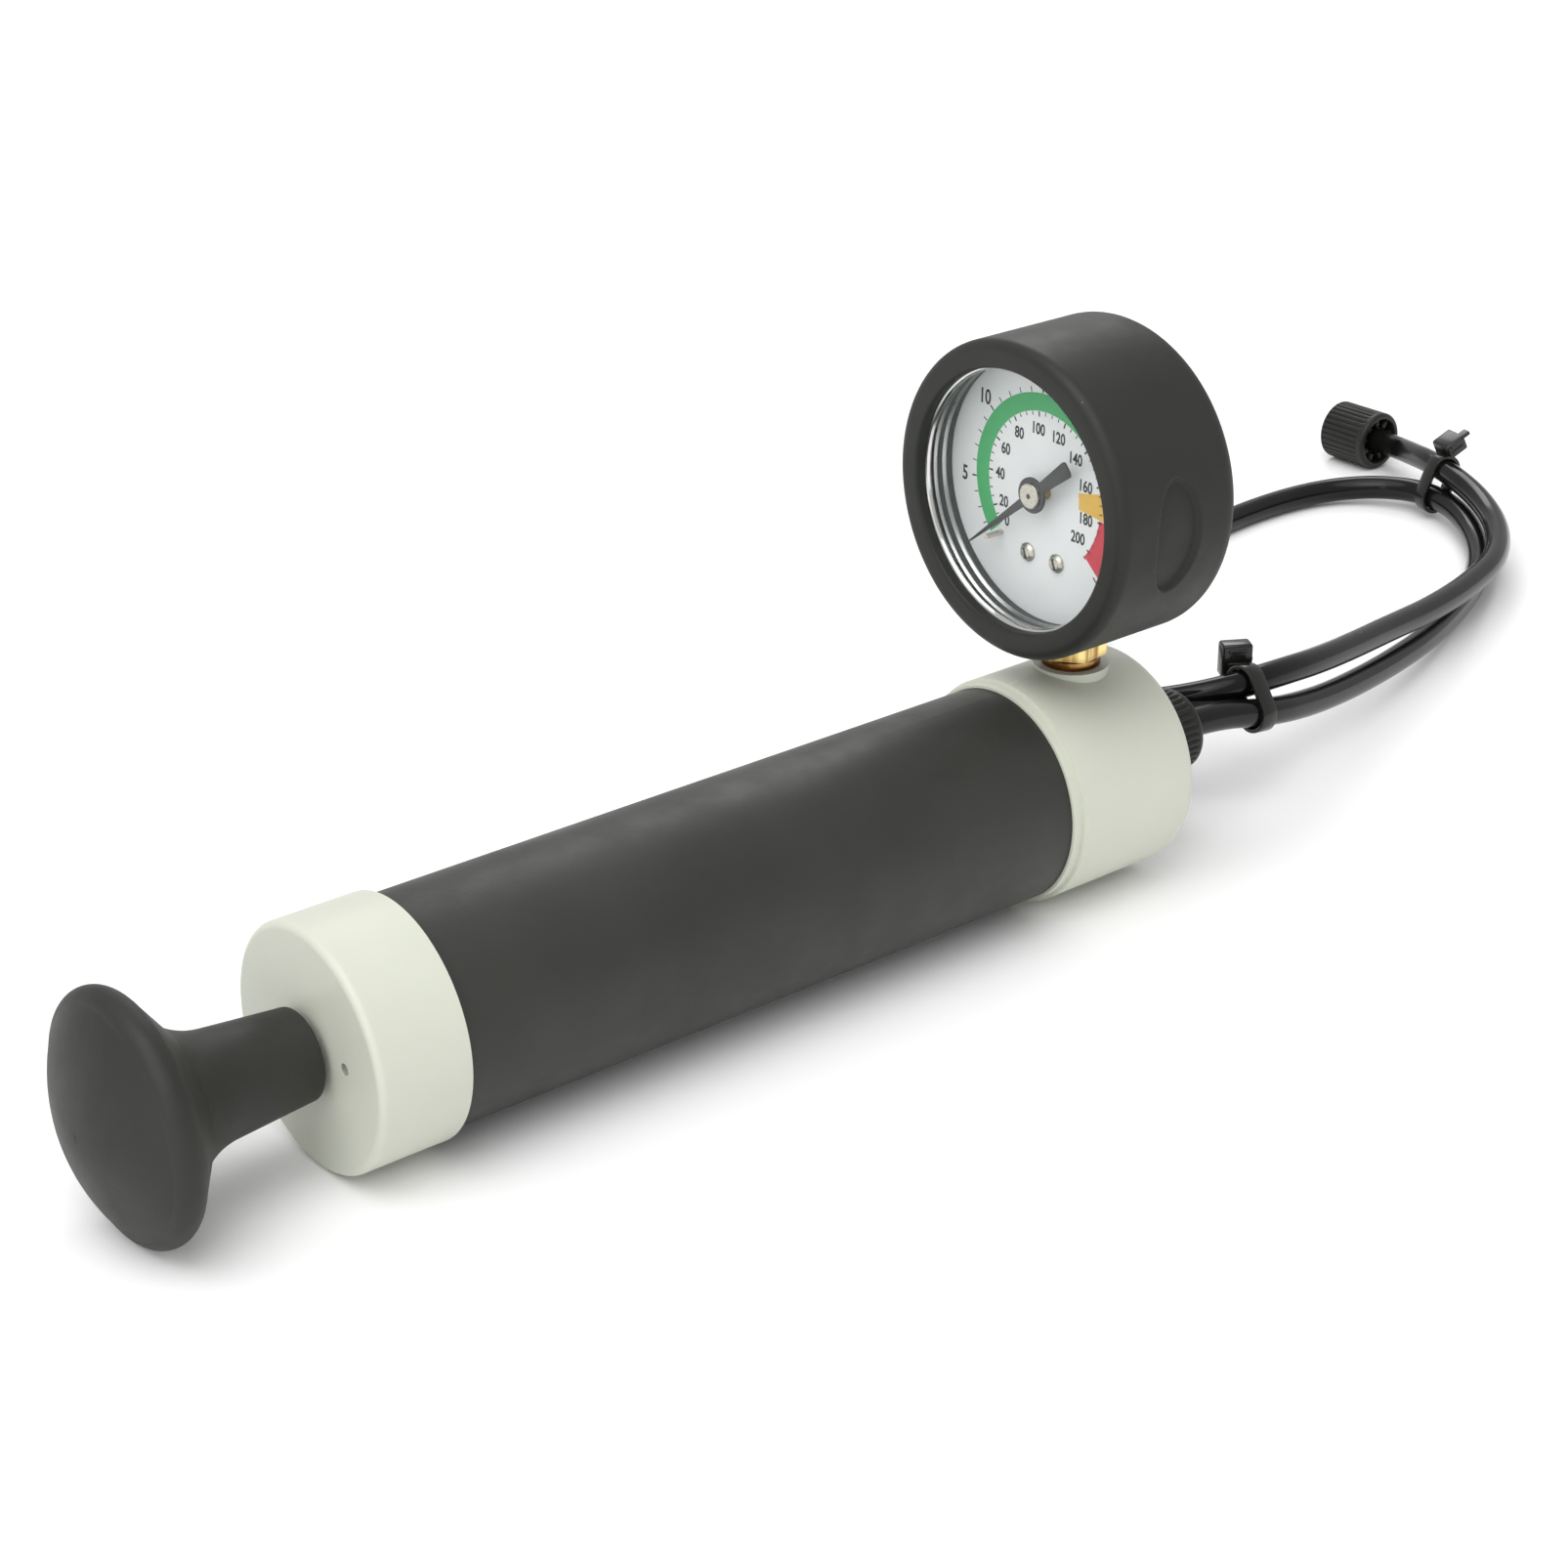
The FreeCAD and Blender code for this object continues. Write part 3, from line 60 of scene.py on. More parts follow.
GAUGE = PUMP @ Matrix.Translation((BOOT_FRONT_X, 0, GAUGE_RISE))
DIAL = GAUGE @ Matrix.Translation((DIAL_X, 0, 0))
# Print on the dial reads from +Y to -Y and faces -X.
DIAL_TURN = Matrix(((0, 0, -1, 0), (-1, 0, 0, 0), (0, 1, 0, 0), (0, 0, 0, 1)))

# Camera, at the photograph's view

CAMERA_PLACE = (-0.37088, -0.48315, 0.34498)
CAMERA_WAY = (0.57262, 0.69837, -0.42940)
CAMERA_LENS = 74.02


def set_camera():
    data = bpy.data.cameras.new("view")
    data.lens = CAMERA_LENS
    data.sensor_width = 36
    data.clip_start = 0.01
    camera = bpy.data.objects.new("view", data)
    camera.location = CAMERA_PLACE
    camera.rotation_euler = Vector(CAMERA_WAY).to_track_quat("-Z", "Y").to_euler()
    bpy.context.scene.collection.objects.link(camera)
    bpy.context.scene.camera = camera


set_camera()

# Hose: the same route as its CAD solid, as the control points of one spline

HOSE_START = (233.4, 0.0, 26.5)
HOSE_ROUTE = [
    (252.0, 0.0, 26.5),
    (275.0, -0.2, 21.0),
    (296.0, 4.6, 16.3),
    (317.0, 10.6, 12.8),
    (341.0, 18.2, 9.6),
    (368.0, 27.6, 6.8),
    (398.0, 41.0, 4.6),
    (422.4, 54.4, 4.0),
    (440.0, 69.8, 5.0),
    (451.3, 86.5, 6.6),
    (455.6, 102.2, 6.8),
    (451.9, 116.1, 5.6),
    (442.0, 126.0, 4.4),
    (427.7, 130.4, 3.8),
    (408.0, 130.8, 3.6),
    (387.0, 128.2, 3.6),
    (364.5, 122.2, 4.0),
    (340.5, 113.0, 5.2),
    (314.0, 100.8, 7.2),
    (287.0, 87.0, 10.0),
    (264.5, 70.5, 12.5),
    (250.5, 52.0, 16.0),
    (246.5, 34.5, 19.5),
    (251.0, 19.5, 23.2),
    (260.5, 9.0, 26.6),
    (271.0, 4.5, 28.4),
    (284.5, 4.3, 28.0),
    (299.0, 7.0, 25.8),
    (318.5, 12.6, 22.6),
    (341.0, 19.6, 19.2),
    (366.0, 26.2, 16.0),
    (393.0, 34.8, 13.6),
    (417.5, 45.0, 12.4),
    (437.0, 60.5, 12.2),
    (449.0, 77.0, 13.2),
    (454.8, 92.0, 14.8),
    (460.2, 106.0, 14.6),
    (467.2, 118.6, 12.0),
    (474.5, 131.5, 9.2),
    (474.5, 145.5, 9.0),
]
HOSE_RADIUS = 3.5


def hose_points():
    """Control points in metres, in the scene's frame."""
    return [Vector((x - MID_X, y, z)) * MM for x, y, z in [HOSE_START] + HOSE_ROUTE]


def hose_curve(name, bevel):
    data = bpy.data.curves.new(name, "CURVE")
    data.dimensions = "3D"
    data.resolution_u = 12
    data.bevel_depth = bevel
    data.bevel_resolution = 10
    data.use_fill_caps = True
    spline = data.splines.new("NURBS")
    points = hose_points()
    spline.points.add(len(points) - 1)
    for point, place in zip(spline.points, points):
        point.co = (*place, 1)
    spline.order_u = 3
    spline.use_endpoint_u = True
    piece = bpy.data.objects.new(name, data)
    bpy.context.scene.collection.objects.link(piece)
    return piece


def hose_line():
    """Points along the hose's own line, in millimetres."""
    bare = hose_curve("bare_line", 0)
    mesh = bpy.data.meshes.new_from_object(bare)
    line = [vertex.co / MM for vertex in mesh.vertices]
    bpy.data.meshes.remove(mesh)
    bpy.data.objects.remove(bare)
    return line


HOSE = hose_curve("hose", HOSE_RADIUS * MM)
LINE = hose_line()


# Shader maths

# Colour sockets of a Mix node
MIX_FIRST = 6
MIX_SECOND = 7
MIX_RESULT = 2


class Sock:
    """An output socket that can be used in arithmetic."""

    def __init__(self, paint, socket):
        self.paint = paint
        self.socket = socket

    def out(self, name):
        return Sock(self.paint, self.socket.node.outputs[name])

    def maths(self, kind, first, second):
        return self.paint.node("ShaderNodeMath", {0: first, 1: second}, operation=kind)

    def __add__(self, other):
        return self.maths("ADD", self, other)

    def __sub__(self, other):
        return self.maths("SUBTRACT", self, other)

    def __rsub__(self, other):
        return self.maths("SUBTRACT", other, self)

    def __mul__(self, other):
        return self.maths("MULTIPLY", self, other)

    def __gt__(self, other):
        return self.maths("GREATER_THAN", self, other)

    def __lt__(self, other):
        return self.maths("LESS_THAN", self, other)

    __radd__ = __add__
    __rmul__ = __mul__


class Paint:
    """A material on the principled shader, with constants set on its own sockets."""

    def __init__(self, name, color, **constants):
        self.material = bpy.data.materials.new(name)
        self.material.use_nodes = True
        self.tree = self.material.node_tree
        self.shader = self.tree.nodes["Principled BSDF"]
        self.set("Base Color", (*color, 1))
        for socket, setting in constants.items():
            self.set(socket.replace("_", " "), setting)

    def set(self, name, setting):
        """A constant, or a varying value from a socket."""
        target = self.shader.inputs[name]
        if isinstance(setting, Sock):
            self.tree.links.new(setting.socket, target)
        else:
            target.default_value = setting

    def node(self, kind, inputs=None, **settings):
        """A node with its settings and then its inputs. Returns its first output."""
        made = self.tree.nodes.new(kind)
        for key, setting in settings.items():
            setattr(made, key, setting)
        for key, given in (inputs or {}).items():
            if isinstance(given, Sock):
                self.tree.links.new(given.socket, made.inputs[key])
            else:
                made.inputs[key].default_value = given
        return Sock(self, made.outputs[0])

    def where(self):
        return self.node("ShaderNodeTexCoord").out("Object")

    def noise(self, scale, detail=2, roughness=0.5, vector=None):
        return self.node("ShaderNodeTexNoise", {"Vector": vector or self.where(), "Scale": scale,
                                                "Detail": detail, "Roughness": roughness}).out("Fac")

    def stretched(self, x, y, z):
        """Object coordinates scaled by a different amount along each axis."""
        return self.node("ShaderNodeVectorMath", {0: self.where(), 1: (x, y, z)}, operation="MULTIPLY")

    def ramp(self, value, low, high, first=0, last=1):
        return self.node("ShaderNodeMapRange", {0: value, 1: low, 2: high, 3: first, 4: last}, clamp=True)

    def mixed(self, factor, first, second):
        """Colour between two colours or sockets."""
        first, second = (given if isinstance(given, Sock) else (*given, 1) for given in (first, second))
        inputs = {0: factor, MIX_FIRST: first, MIX_SECOND: second}
        return self.node("ShaderNodeMix", inputs, data_type="RGBA").out(MIX_RESULT)

    def specks(self, scale, size):
        """1 inside small scattered spots, 0 elsewhere."""
        spots = self.node("ShaderNodeTexVoronoi", {"Vector": self.where(), "Scale": scale})
        return spots.out("Distance") < size

    def bump(self, height, distance, strength):
        self.set("Normal", self.node("ShaderNodeBump", {"Height": height, "Distance": distance,
                                                        "Strength": strength}))


def tinted(color, factor):
    return tuple(part * factor for part in color)


DUST = (0.5, 0.5, 0.47)
SCUFF = (0.45, 0.45, 0.42)
RING_SCALE = 9000.0
# Height over the floor, in metres, where the painted shade at the stem's foot fades out
STEM_SHADE_FADE = (0.0545, 0.0575)


def moulded(name, color, rough, grain=1500, depth=0.00003, dust=0.0, drift=0.12, **constants):
    """Moulded plastic or rubber: fine grain, cloudy gloss, faint colour drift and a little dust."""
    paint = Paint(name, color, **constants)
    cloud = paint.ramp(paint.noise(28, 3), 0.35, 0.65)
    tone = paint.mixed(cloud, tinted(color, 1 - drift), tinted(color, 1 + drift))
    if dust:
        spot = paint.specks(150, 0.035) * (paint.noise(9, 1) > 0.62) * dust
        tone = paint.mixed(spot, tone, DUST)
    paint.set("Base Color", tone)
    smudge = paint.noise(70, 4, 0.6)
    paint.set("Roughness", paint.ramp(smudge, 0.3, 0.7, rough - 0.06, rough + 0.07))
    paint.bump(paint.noise(grain, 2, 0.6) + paint.noise(grain / 6, 2) * 0.7, depth, 0.6)
    return paint.material


def turned_metal(name, color, rough):
    """Metal cut on a lathe about the X axis, with fine rings."""
    paint = Paint(name, color, Metallic=1.0)
    rings = paint.noise(1, 2, 0.6, paint.stretched(RING_SCALE, 60, 60))
    blotch = paint.noise(110, 3)
    paint.set("Base Color", paint.mixed(paint.ramp(blotch, 0.35, 0.7), tinted(color, 0.82), color))
    paint.set("Roughness", paint.ramp(rings, 0.3, 0.7, rough - 0.08, rough + 0.1))
    paint.bump(rings, 0.00001, 0.5)
    return paint.material


def plated_brass():
    """Bright plated stem: painted reflections as streaks along the Z axis, painted shade at its foot, and
    fine rings.
    """
    paint = Paint("brass_stem", (0.78, 0.56, 0.20), Metallic=1.0)
    reflection_streak = paint.noise(1, 2, 0.5, paint.stretched(420, 420, 25))
    height = paint.node("ShaderNodeSeparateXYZ", {0: paint.where()}).out("Z")
    # Painted reflections: dark and bright streaks stand in for the surroundings mirrored in the plating.
    tone = paint.mixed(paint.ramp(reflection_streak, 0.38, 0.62), (0.30, 0.17, 0.04), (0.92, 0.72, 0.30))
    # Painted shade: dark brown towards the stem's foot, just above the cap.
    paint.set("Base Color", paint.mixed(paint.ramp(height, *STEM_SHADE_FADE), (0.20, 0.075, 0.02), tone))
    paint.set("Roughness", paint.ramp(paint.noise(130, 3), 0.3, 0.7, 0.08, 0.2))
    paint.bump(paint.noise(1, 2, 0.6, paint.stretched(60, 60, RING_SCALE)), 0.000008, 0.5)
    return paint.material


def brushed_flat(name, color, rough):
    """Flat rolled metal with a fine straight grain."""
    paint = Paint(name, color, Metallic=1.0)
    grain = paint.noise(1, 3, 0.6, paint.stretched(400, 400, 5200))
    paint.set("Base Color", paint.mixed(paint.ramp(grain, 0.3, 0.7), tinted(color, 0.85), color))
    paint.set("Roughness", paint.ramp(grain, 0.3, 0.7, rough - 0.05, rough + 0.1))
    paint.bump(grain, 0.000008, 0.4)
    return paint.material


def print_ink(name, color):
    """Screen-printed ink with a slight unevenness."""
    paint = Paint(name, color, Roughness=0.5)
    patch = paint.noise(900, 2)
    paint.set("Base Color", paint.mixed(paint.ramp(patch, 0.35, 0.65), tinted(color, 0.93), color))
    paint.bump(patch, 0.000004, 0.4)
    return paint.material


def hose_gloss():
    """Smooth extruded rubber: cloudy tone and gloss, and pale scuffs."""
    color = (0.005, 0.005, 0.0048)
    paint = Paint("hose_gloss", color, Specular_IOR_Level=0.2, Coat_Weight=0.12, Coat_Roughness=0.05)
    cloud = paint.noise(45, 3)
    scuff = paint.specks(300, 0.05) * (paint.noise(60, 2) > 0.64)
    tone = paint.mixed(paint.ramp(cloud, 0.35, 0.7), tinted(color, 0.8), tinted(color, 1.35))
    paint.set("Base Color", paint.mixed(scuff * 0.4, tone, SCUFF))
    paint.set("Roughness", paint.ramp(paint.noise(60, 3, 0.5), 0.3, 0.7, 0.14, 0.24))
    paint.bump(paint.noise(55, 2, 0.4), 0.00004, 0.3)
    return paint.material


def dial_white():
    """Painted dial, slightly uneven."""
    paint = Paint("dial_white", (0.84, 0.87, 0.87), Roughness=0.38, Coat_Weight=0.15, Coat_Roughness=0.2)
    cloud = paint.noise(60, 3)
    tone = paint.mixed(paint.ramp(cloud, 0.3, 0.7), (0.82, 0.85, 0.85), (0.87, 0.90, 0.90))
    paint.set("Base Color", tone)
    paint.bump(paint.noise(1400, 2), 0.000006, 0.3)
    return paint.material


def lens_clear():
    """Clear plastic lens with faint smears."""
    paint = Paint("lens_clear", (0.30, 0.34, 0.33), Alpha=0.045, Specular_IOR_Level=0.5, Coat_Weight=0.2,
                  Coat_Roughness=0.03)
    smear = paint.noise(35, 3)
    paint.set("Roughness", paint.ramp(smear, 0.4, 0.8, 0.02, 0.07))
    paint.bump(smear, 0.00002, 0.15)
    return paint.material


# Materials

KNOB_BLACK = moulded("knob_black", (0.023, 0.024, 0.020), 0.55, grain=1300, depth=0.00007, dust=0.3,
                     Specular_IOR_Level=0.35)
BARREL_BLACK = moulded("barrel_black", (0.026, 0.027, 0.023), 0.49, grain=1700, depth=0.00005, dust=0.5,
                       Specular_IOR_Level=0.4)
NUT_BLACK = moulded("nut_black", (0.017, 0.017, 0.015), 0.42, dust=0.2, Specular_IOR_Level=0.28)
BOOT_RUBBER = moulded("boot_rubber", (0.023, 0.024, 0.021), 0.5, grain=1900, depth=0.00002, dust=0.9,
                      Specular_IOR_Level=0.24)
SEAL_RUBBER = moulded("seal_rubber", (0.03, 0.03, 0.03), 0.6)
TIE_NYLON = moulded("tie_nylon", (0.009, 0.009, 0.008), 0.25, grain=300, depth=0.00001, Coat_Weight=0.2,
                    Coat_Roughness=0.06, Specular_IOR_Level=0.35)
CAP_PALE = moulded("cap_pale", (0.585, 0.603, 0.515), 0.45, grain=1700, depth=0.000012, drift=0.025,
                   Subsurface_Weight=0.08, Subsurface_Scale=0.002)
ACETAL = moulded("acetal_white", (0.74, 0.74, 0.71), 0.42)
HOSE_GLOSS = hose_gloss()
BRASS_STEM = plated_brass()
BRASS_TURNED = turned_metal("brass_turned", (0.80, 0.60, 0.29), 0.25)
BRASS_SHEET = brushed_flat("brass_sheet", (0.80, 0.62, 0.32), 0.3)
STEEL_ROD = turned_metal("steel_rod", (0.62, 0.62, 0.60), 0.18)
STEEL_SHEET = brushed_flat("steel_sheet", (0.58, 0.58, 0.57), 0.32)
ALLOY = turned_metal("alloy", (0.72, 0.73, 0.74), 0.3)
CHROME = turned_metal("bezel_chrome", (0.75, 0.75, 0.73), 0.12)
DULL_CHROME = turned_metal("spacer_chrome", (0.52, 0.53, 0.53), 0.26)
NICKEL = brushed_flat("nickel", (0.60, 0.575, 0.50), 0.24)
DIAL_WHITE = dial_white()
LENS_CLEAR = lens_clear()
INK_BLACK = print_ink("ink_black", (0.018, 0.021, 0.022))
INK_GREEN = print_ink("ink_green", (0.065, 0.46, 0.155))
INK_ORANGE = print_ink("ink_orange", (0.86, 0.53, 0.085))
INK_RED = print_ink("ink_red", (0.70, 0.04, 0.07))
# Near-black used as painted shade in the spacer grooves and the screw slots, and as the needle rivet's
# colour.
PAINTED_SHADE_AND_RIVET = moulded("painted_shade_and_rivet", (0.03, 0.032, 0.032), 0.35)
VENT_SHADE = moulded("vent_shade", (0.28, 0.28, 0.25), 0.6)
NEEDLE_BLACK = moulded("needle_black", (0.04, 0.042, 0.042), 0.4)

NODE_PAINT = {
    "barrel": BARREL_BLACK,
    "handle_end_cap": CAP_PALE,
    "outlet_end_cap": CAP_PALE,
    "rod_guide_bush": ACETAL,
    "check_valve_seat": BRASS_TURNED,
    "check_valve_ball": STEEL_ROD,
    "check_valve_spring": STEEL_ROD,
    "plunger_handle": KNOB_BLACK,
    "piston_rod": STEEL_ROD,
    "piston_front_plate": ACETAL,
    "piston_cup_seal": SEAL_RUBBER,
    "piston_spreader": ACETAL,
    "piston_back_plate": ALLOY,
    "piston_lock_nut": STEEL_SHEET,
    "gauge_boot": BOOT_RUBBER,
    "gauge_case": STEEL_SHEET,
    "gauge_bezel": CHROME,
    "gauge_lens": LENS_CLEAR,
    "dial_spacer_ring": DULL_CHROME,
    "gauge_dial": DIAL_WHITE,
    "dial_screws": NICKEL,
    "zero_stop_pin": NICKEL,
    "gauge_stem": BRASS_STEM,
    "stem_seal_washer": SEAL_RUBBER,
    "bourdon_tube": BRASS_SHEET,
    "bourdon_tube_tip": BRASS_SHEET,
    "pinion_arbor": BRASS_TURNED,
    "gauge_pointer": NEEDLE_BLACK,
    "pointer_cap": NICKEL,
    "sector_gear": BRASS_SHEET,
    "movement_link": BRASS_SHEET,
    "movement_front_plate": BRASS_SHEET,
    "movement_back_plate": BRASS_SHEET,
    "movement_pillars": BRASS_TURNED,
    "sector_staff": STEEL_ROD,
    "hair_spring": BRASS_SHEET,
    "hose_barb": BRASS_TURNED,
    "end_tail": BRASS_TURNED,
    "end_washer": SEAL_RUBBER,
    "outlet_nut": NUT_BLACK,
    "end_nut": NUT_BLACK,
}


def paint_nodes():
    for name, material in NODE_PAINT.items():
        for slot in NODES[name].material_slots:
            slot.material = material


# Mesh helpers

MERGE_DISTANCE = 0.0005
CORNER_STEPS = 8
# Vertices this near to an outer radius belong to that surface.
SKIN = 0.05


def finish_mesh(name, bm, place, material, sharp=32, smooth=True):
    """Mesh object from millimetres in a local frame, with its hard edges marked by angle."""
    bmesh.ops.remove_doubles(bm, verts=bm.verts, dist=MERGE_DISTANCE)
    bmesh.ops.recalc_face_normals(bm, faces=bm.faces)
    bm.transform(Matrix.Scale(MM, 4) @ place)
    mesh = bpy.data.meshes.new(name)
    bm.to_mesh(mesh)
    bm.free()
    mesh.materials.append(material)
    if smooth:
        mesh.shade_smooth()
        mesh.set_sharp_from_angle(angle=math.radians(sharp))
    piece = bpy.data.objects.new(name, mesh)
    bpy.context.scene.collection.objects.link(piece)
    return piece


def arc_corner(before, corner, after, radius):
    """Points of a rounded corner of a flat outline."""
    back = (before - corner).normalized()
    ahead = (after - corner).normalized()
    half = math.acos(max(-1, min(1, back.dot(ahead)))) / 2
    reach = radius / math.tan(half)
    centre = corner + (back + ahead).normalized() * (radius / math.sin(half))
    start = corner + back * reach - centre
    end = corner + ahead * reach - centre
    sweep = start.angle_signed(end)
    turns = [-sweep * step / CORNER_STEPS for step in range(CORNER_STEPS + 1)]
    return [centre + Matrix.Rotation(turn, 2) @ start for turn in turns]


def rounded_outline(corners, closed=True):
    """(x, y) or (x, y, fillet) corners as a polyline with rounded corners."""
    spots = [Vector(corner[:2]) for corner in corners]
    line = []
    count = len(spots)
    for index, corner in enumerate(corners):
        inner = closed or 0 < index < count - 1
        if len(corner) == 3 and inner:
            line += arc_corner(spots[index - 1], spots[index], spots[(index + 1) % count], corner[2])
        else:
            line.append(spots[index])
    return line


def spun(outline, steps, closed=True):
    """Bmesh of an outline of (x, radius) points turned about the local X axis."""
    bm = bmesh.new()
    ring = [bm.verts.new((x, 0, radius)) for x, radius in outline]
    pairs = list(zip(ring, ring[1:]))
    if closed:
        pairs.append((ring[-1], ring[0]))
    edges = [bm.edges.new(pair) for pair in pairs]
    bmesh.ops.spin(bm, geom=ring + edges, cent=(0, 0, 0), axis=(1, 0, 0), angle=2 * math.pi,
                   steps=steps, use_merge=True)
    return bm


def turned(name, corners, place, material, steps=160, closed=True):
    """Piece turned about the local X axis from (x, radius, fillet) corners."""
    bm = spun(rounded_outline(corners, closed), steps, closed)
    return finish_mesh(name, bm, place, material)


def press_in(bm, depth_at):
    """Move vertices towards the X axis by depth_at(x, y, z, radius)."""
    for vert in bm.verts:
        x, y, z = vert.co
        radius = math.hypot(y, z)
        depth = depth_at(x, y, z, radius)
        if depth:
            shrink = (radius - depth) / radius
            vert.co = (x, y * shrink, z * shrink)


def pushed(bm, faces, way):
    """Closed solid from flat faces, pushed along a vector."""
    made = bmesh.ops.extrude_face_region(bm, geom=faces)
    moved = [item for item in made["geom"] if isinstance(item, bmesh.types.BMVert)]
    bmesh.ops.translate(bm, verts=moved, vec=way)


def extruded(bm, outline, way):
    """Closed prism from an outline of points, pushed along a vector."""
    pushed(bm, [bm.faces.new([bm.verts.new(point) for point in outline])], way)


def round_edges(bm, edges, fillet, segments):
    bmesh.ops.bevel(bm, geom=edges, offset=fillet, offset_type="OFFSET", segments=segments,
                    profile=0.5, affect="EDGES", material=-1, clamp_overlap=True)


def rounded_block(bm, place, size, fillet):
    """Block with rounded edges, centred in its place."""
    block = bmesh.ops.create_cube(bm, size=1, matrix=place @ Matrix.Diagonal((*size, 1)))
    edges = {edge for vert in block["verts"] for edge in vert.link_edges}
    round_edges(bm, list(edges), fillet, segments=4)


def polar(radius, angle):
    turn = math.radians(angle)
    return radius * math.cos(turn), radius * math.sin(turn)


# Dial print, on the dial's YZ plane, with radii and with angles in degrees from +Y

SCALE_START = -40.0
SCALE_ZERO = -52.4
KPA_STEP = 1.337
PSI_STEP = 9.21
PRINT_DEPTH = 0.05
BAND_IN = 18.2
BAND_OUT = 22.3
BLOCK_OUT = BAND_OUT + 2.1
GREEN_END = 133
ORANGE_IN = 10.8
ORANGE_SPAN = (166.5, 186)
RED_IN = 17.4
RED_SPAN = (186.6, 221)
TICK_GAP = 0.1
NUMBER_NARROW = 0.78
NUMBER_BOLD = 0.09
PSI_SIZE = 4.9
PSI_RADIUS = 26.2
KPA_SIZE = 3.7
KPA_RADIUS = 13.9
KPA_SHIFT_Y = 0.6
KPA_TURN = -0.5
# One inner number is turned further, clear of the orange block.
CROWDED_KPA = 180
CROWDED_TURN = 4
ZERO_SPOT = (11.8, -10.4)


def band(name, inner, outer, first, last, material):
    """Coloured sector of a ring on the dial."""
    bm = bmesh.new()
    steps = max(4, round(abs(last - first) / 2))
    angles = [first + (last - first) * step / steps for step in range(steps + 1)]
    for before, after in zip(angles, angles[1:]):
        corners = [polar(inner, before), polar(outer, before), polar(outer, after), polar(inner, after)]
        extruded(bm, [(0, y, z) for y, z in corners], (-PRINT_DEPTH, 0, 0))
    return finish_mesh(name, bm, DIAL, material, smooth=False)


def tick(bm, angle, inner, outer, width):
    way = Vector((0, *polar(1, angle)))
    side = Vector((0, -way.z, way.y)) * (width / 2)
    corners = [way * inner - side, way * outer - side, way * outer + side, way * inner + side]
    extruded(bm, corners, (-PRINT_DEPTH, 0, 0))


def dial_ticks():
    """Ticks outside and inside the green band, longer and bolder where a number stands."""
    bm = bmesh.new()
    for psi in range(2, 31):
        length, width = (1.5, 0.36) if psi % 5 == 0 else (1.3, 0.24)
        tick(bm, SCALE_ZERO + psi * PSI_STEP, BAND_OUT + TICK_GAP, BAND_OUT + length, width)
    for kpa in range(10, 206, 5):
        length, width = (1.3, 0.38) if kpa % 20 == 0 else (0.95, 0.24)
        tick(bm, SCALE_ZERO + kpa * KPA_STEP, BAND_IN - length, BAND_IN - TICK_GAP, width)
    return finish_mesh("dial_ticks", bm, DIAL, INK_BLACK, smooth=False)


def add_number(bm, text, size, y, z):
    """Upright number centred at a point of the dial, as a thin mesh in the gauge's frame."""
    data = bpy.data.curves.new("number", "FONT")
    data.body = text
    data.size = size
    data.align_x = "CENTER"
    data.align_y = "CENTER"
    data.extrude = PRINT_DEPTH / 2
    data.offset = NUMBER_BOLD
    data.resolution_u = 4
    piece = bpy.data.objects.new("number", data)
    mesh = bpy.data.meshes.new_from_object(piece)
    narrow = Matrix.Diagonal((NUMBER_NARROW, 1, 1, 1))
    mesh.transform(Matrix.Translation((DIAL_X - PRINT_DEPTH / 2, y, z)) @ DIAL_TURN @ narrow)
    bm.from_mesh(mesh)
    bpy.data.meshes.remove(mesh)
    bpy.data.objects.remove(piece)
    bpy.data.curves.remove(data)


def dial_numbers():
    bm = bmesh.new()
    for psi in range(5, 31, 5):
        add_number(bm, str(psi), PSI_SIZE, *polar(PSI_RADIUS, SCALE_ZERO + psi * PSI_STEP))
    add_number(bm, "0", KPA_SIZE, *ZERO_SPOT)
    for kpa in range(20, 201, 20):
        turn = CROWDED_TURN if kpa == CROWDED_KPA else KPA_TURN
        y, z = polar(KPA_RADIUS, SCALE_ZERO + turn + kpa * KPA_STEP)
        add_number(bm, str(kpa), KPA_SIZE, y + KPA_SHIFT_Y, z)
    return finish_mesh("dial_numbers", bm, GAUGE, INK_BLACK, smooth=False)


def dial_print():
    made = [
        band("dial_green_band", BAND_IN, BAND_OUT, SCALE_START, GREEN_END, INK_GREEN),
        band("dial_orange_block", ORANGE_IN, BLOCK_OUT, *ORANGE_SPAN, INK_ORANGE),
        band("dial_red_zone", RED_IN, BLOCK_OUT, *RED_SPAN, INK_RED),
        dial_ticks(),
        dial_numbers(),
    ]
    for piece in made:
        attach(piece, "pump")


# Gauge pieces, from sections of (x, radius) or (x, radius, fillet) corners

BOOT_RADIUS = 36.2
BOOT_BORE = 32.55
BOOT_DEPTH = 36.1
BOOT_LIP = 2.6
BOOT_MOUTH = 29.8
BOOT_BACK_X = 33.8
BOOT_BACK_HOLE = 24
BOOT_STEPS = 520
BOOT_WALL_STEP = 0.42
RECESS_X = 17.2
RECESS_Z = -1.8
RECESS_HALF_X = 6.45
RECESS_HALF_Z = 13.2
RECESS_DEPTH = 1.2
RECESS_EDGE = 0.075
BEZEL_RADIUS = 32.45
BEZEL_BORE = 31.95
BEZEL_BACK = 9.9
LENS_FRONT = 3.98
SPACER_FRONT = 5.85
SPACER_BACK = 11.5
SPACER_RADIUS = 31.0
SPACER_BORE = 30.5
SPACER_STEP = 30.45
SPACER_RIB = 29.95
GROOVE_BORE = 30.35
GROOVE_SPANS = ((7.0, 8.3), (9.8, 11.3))


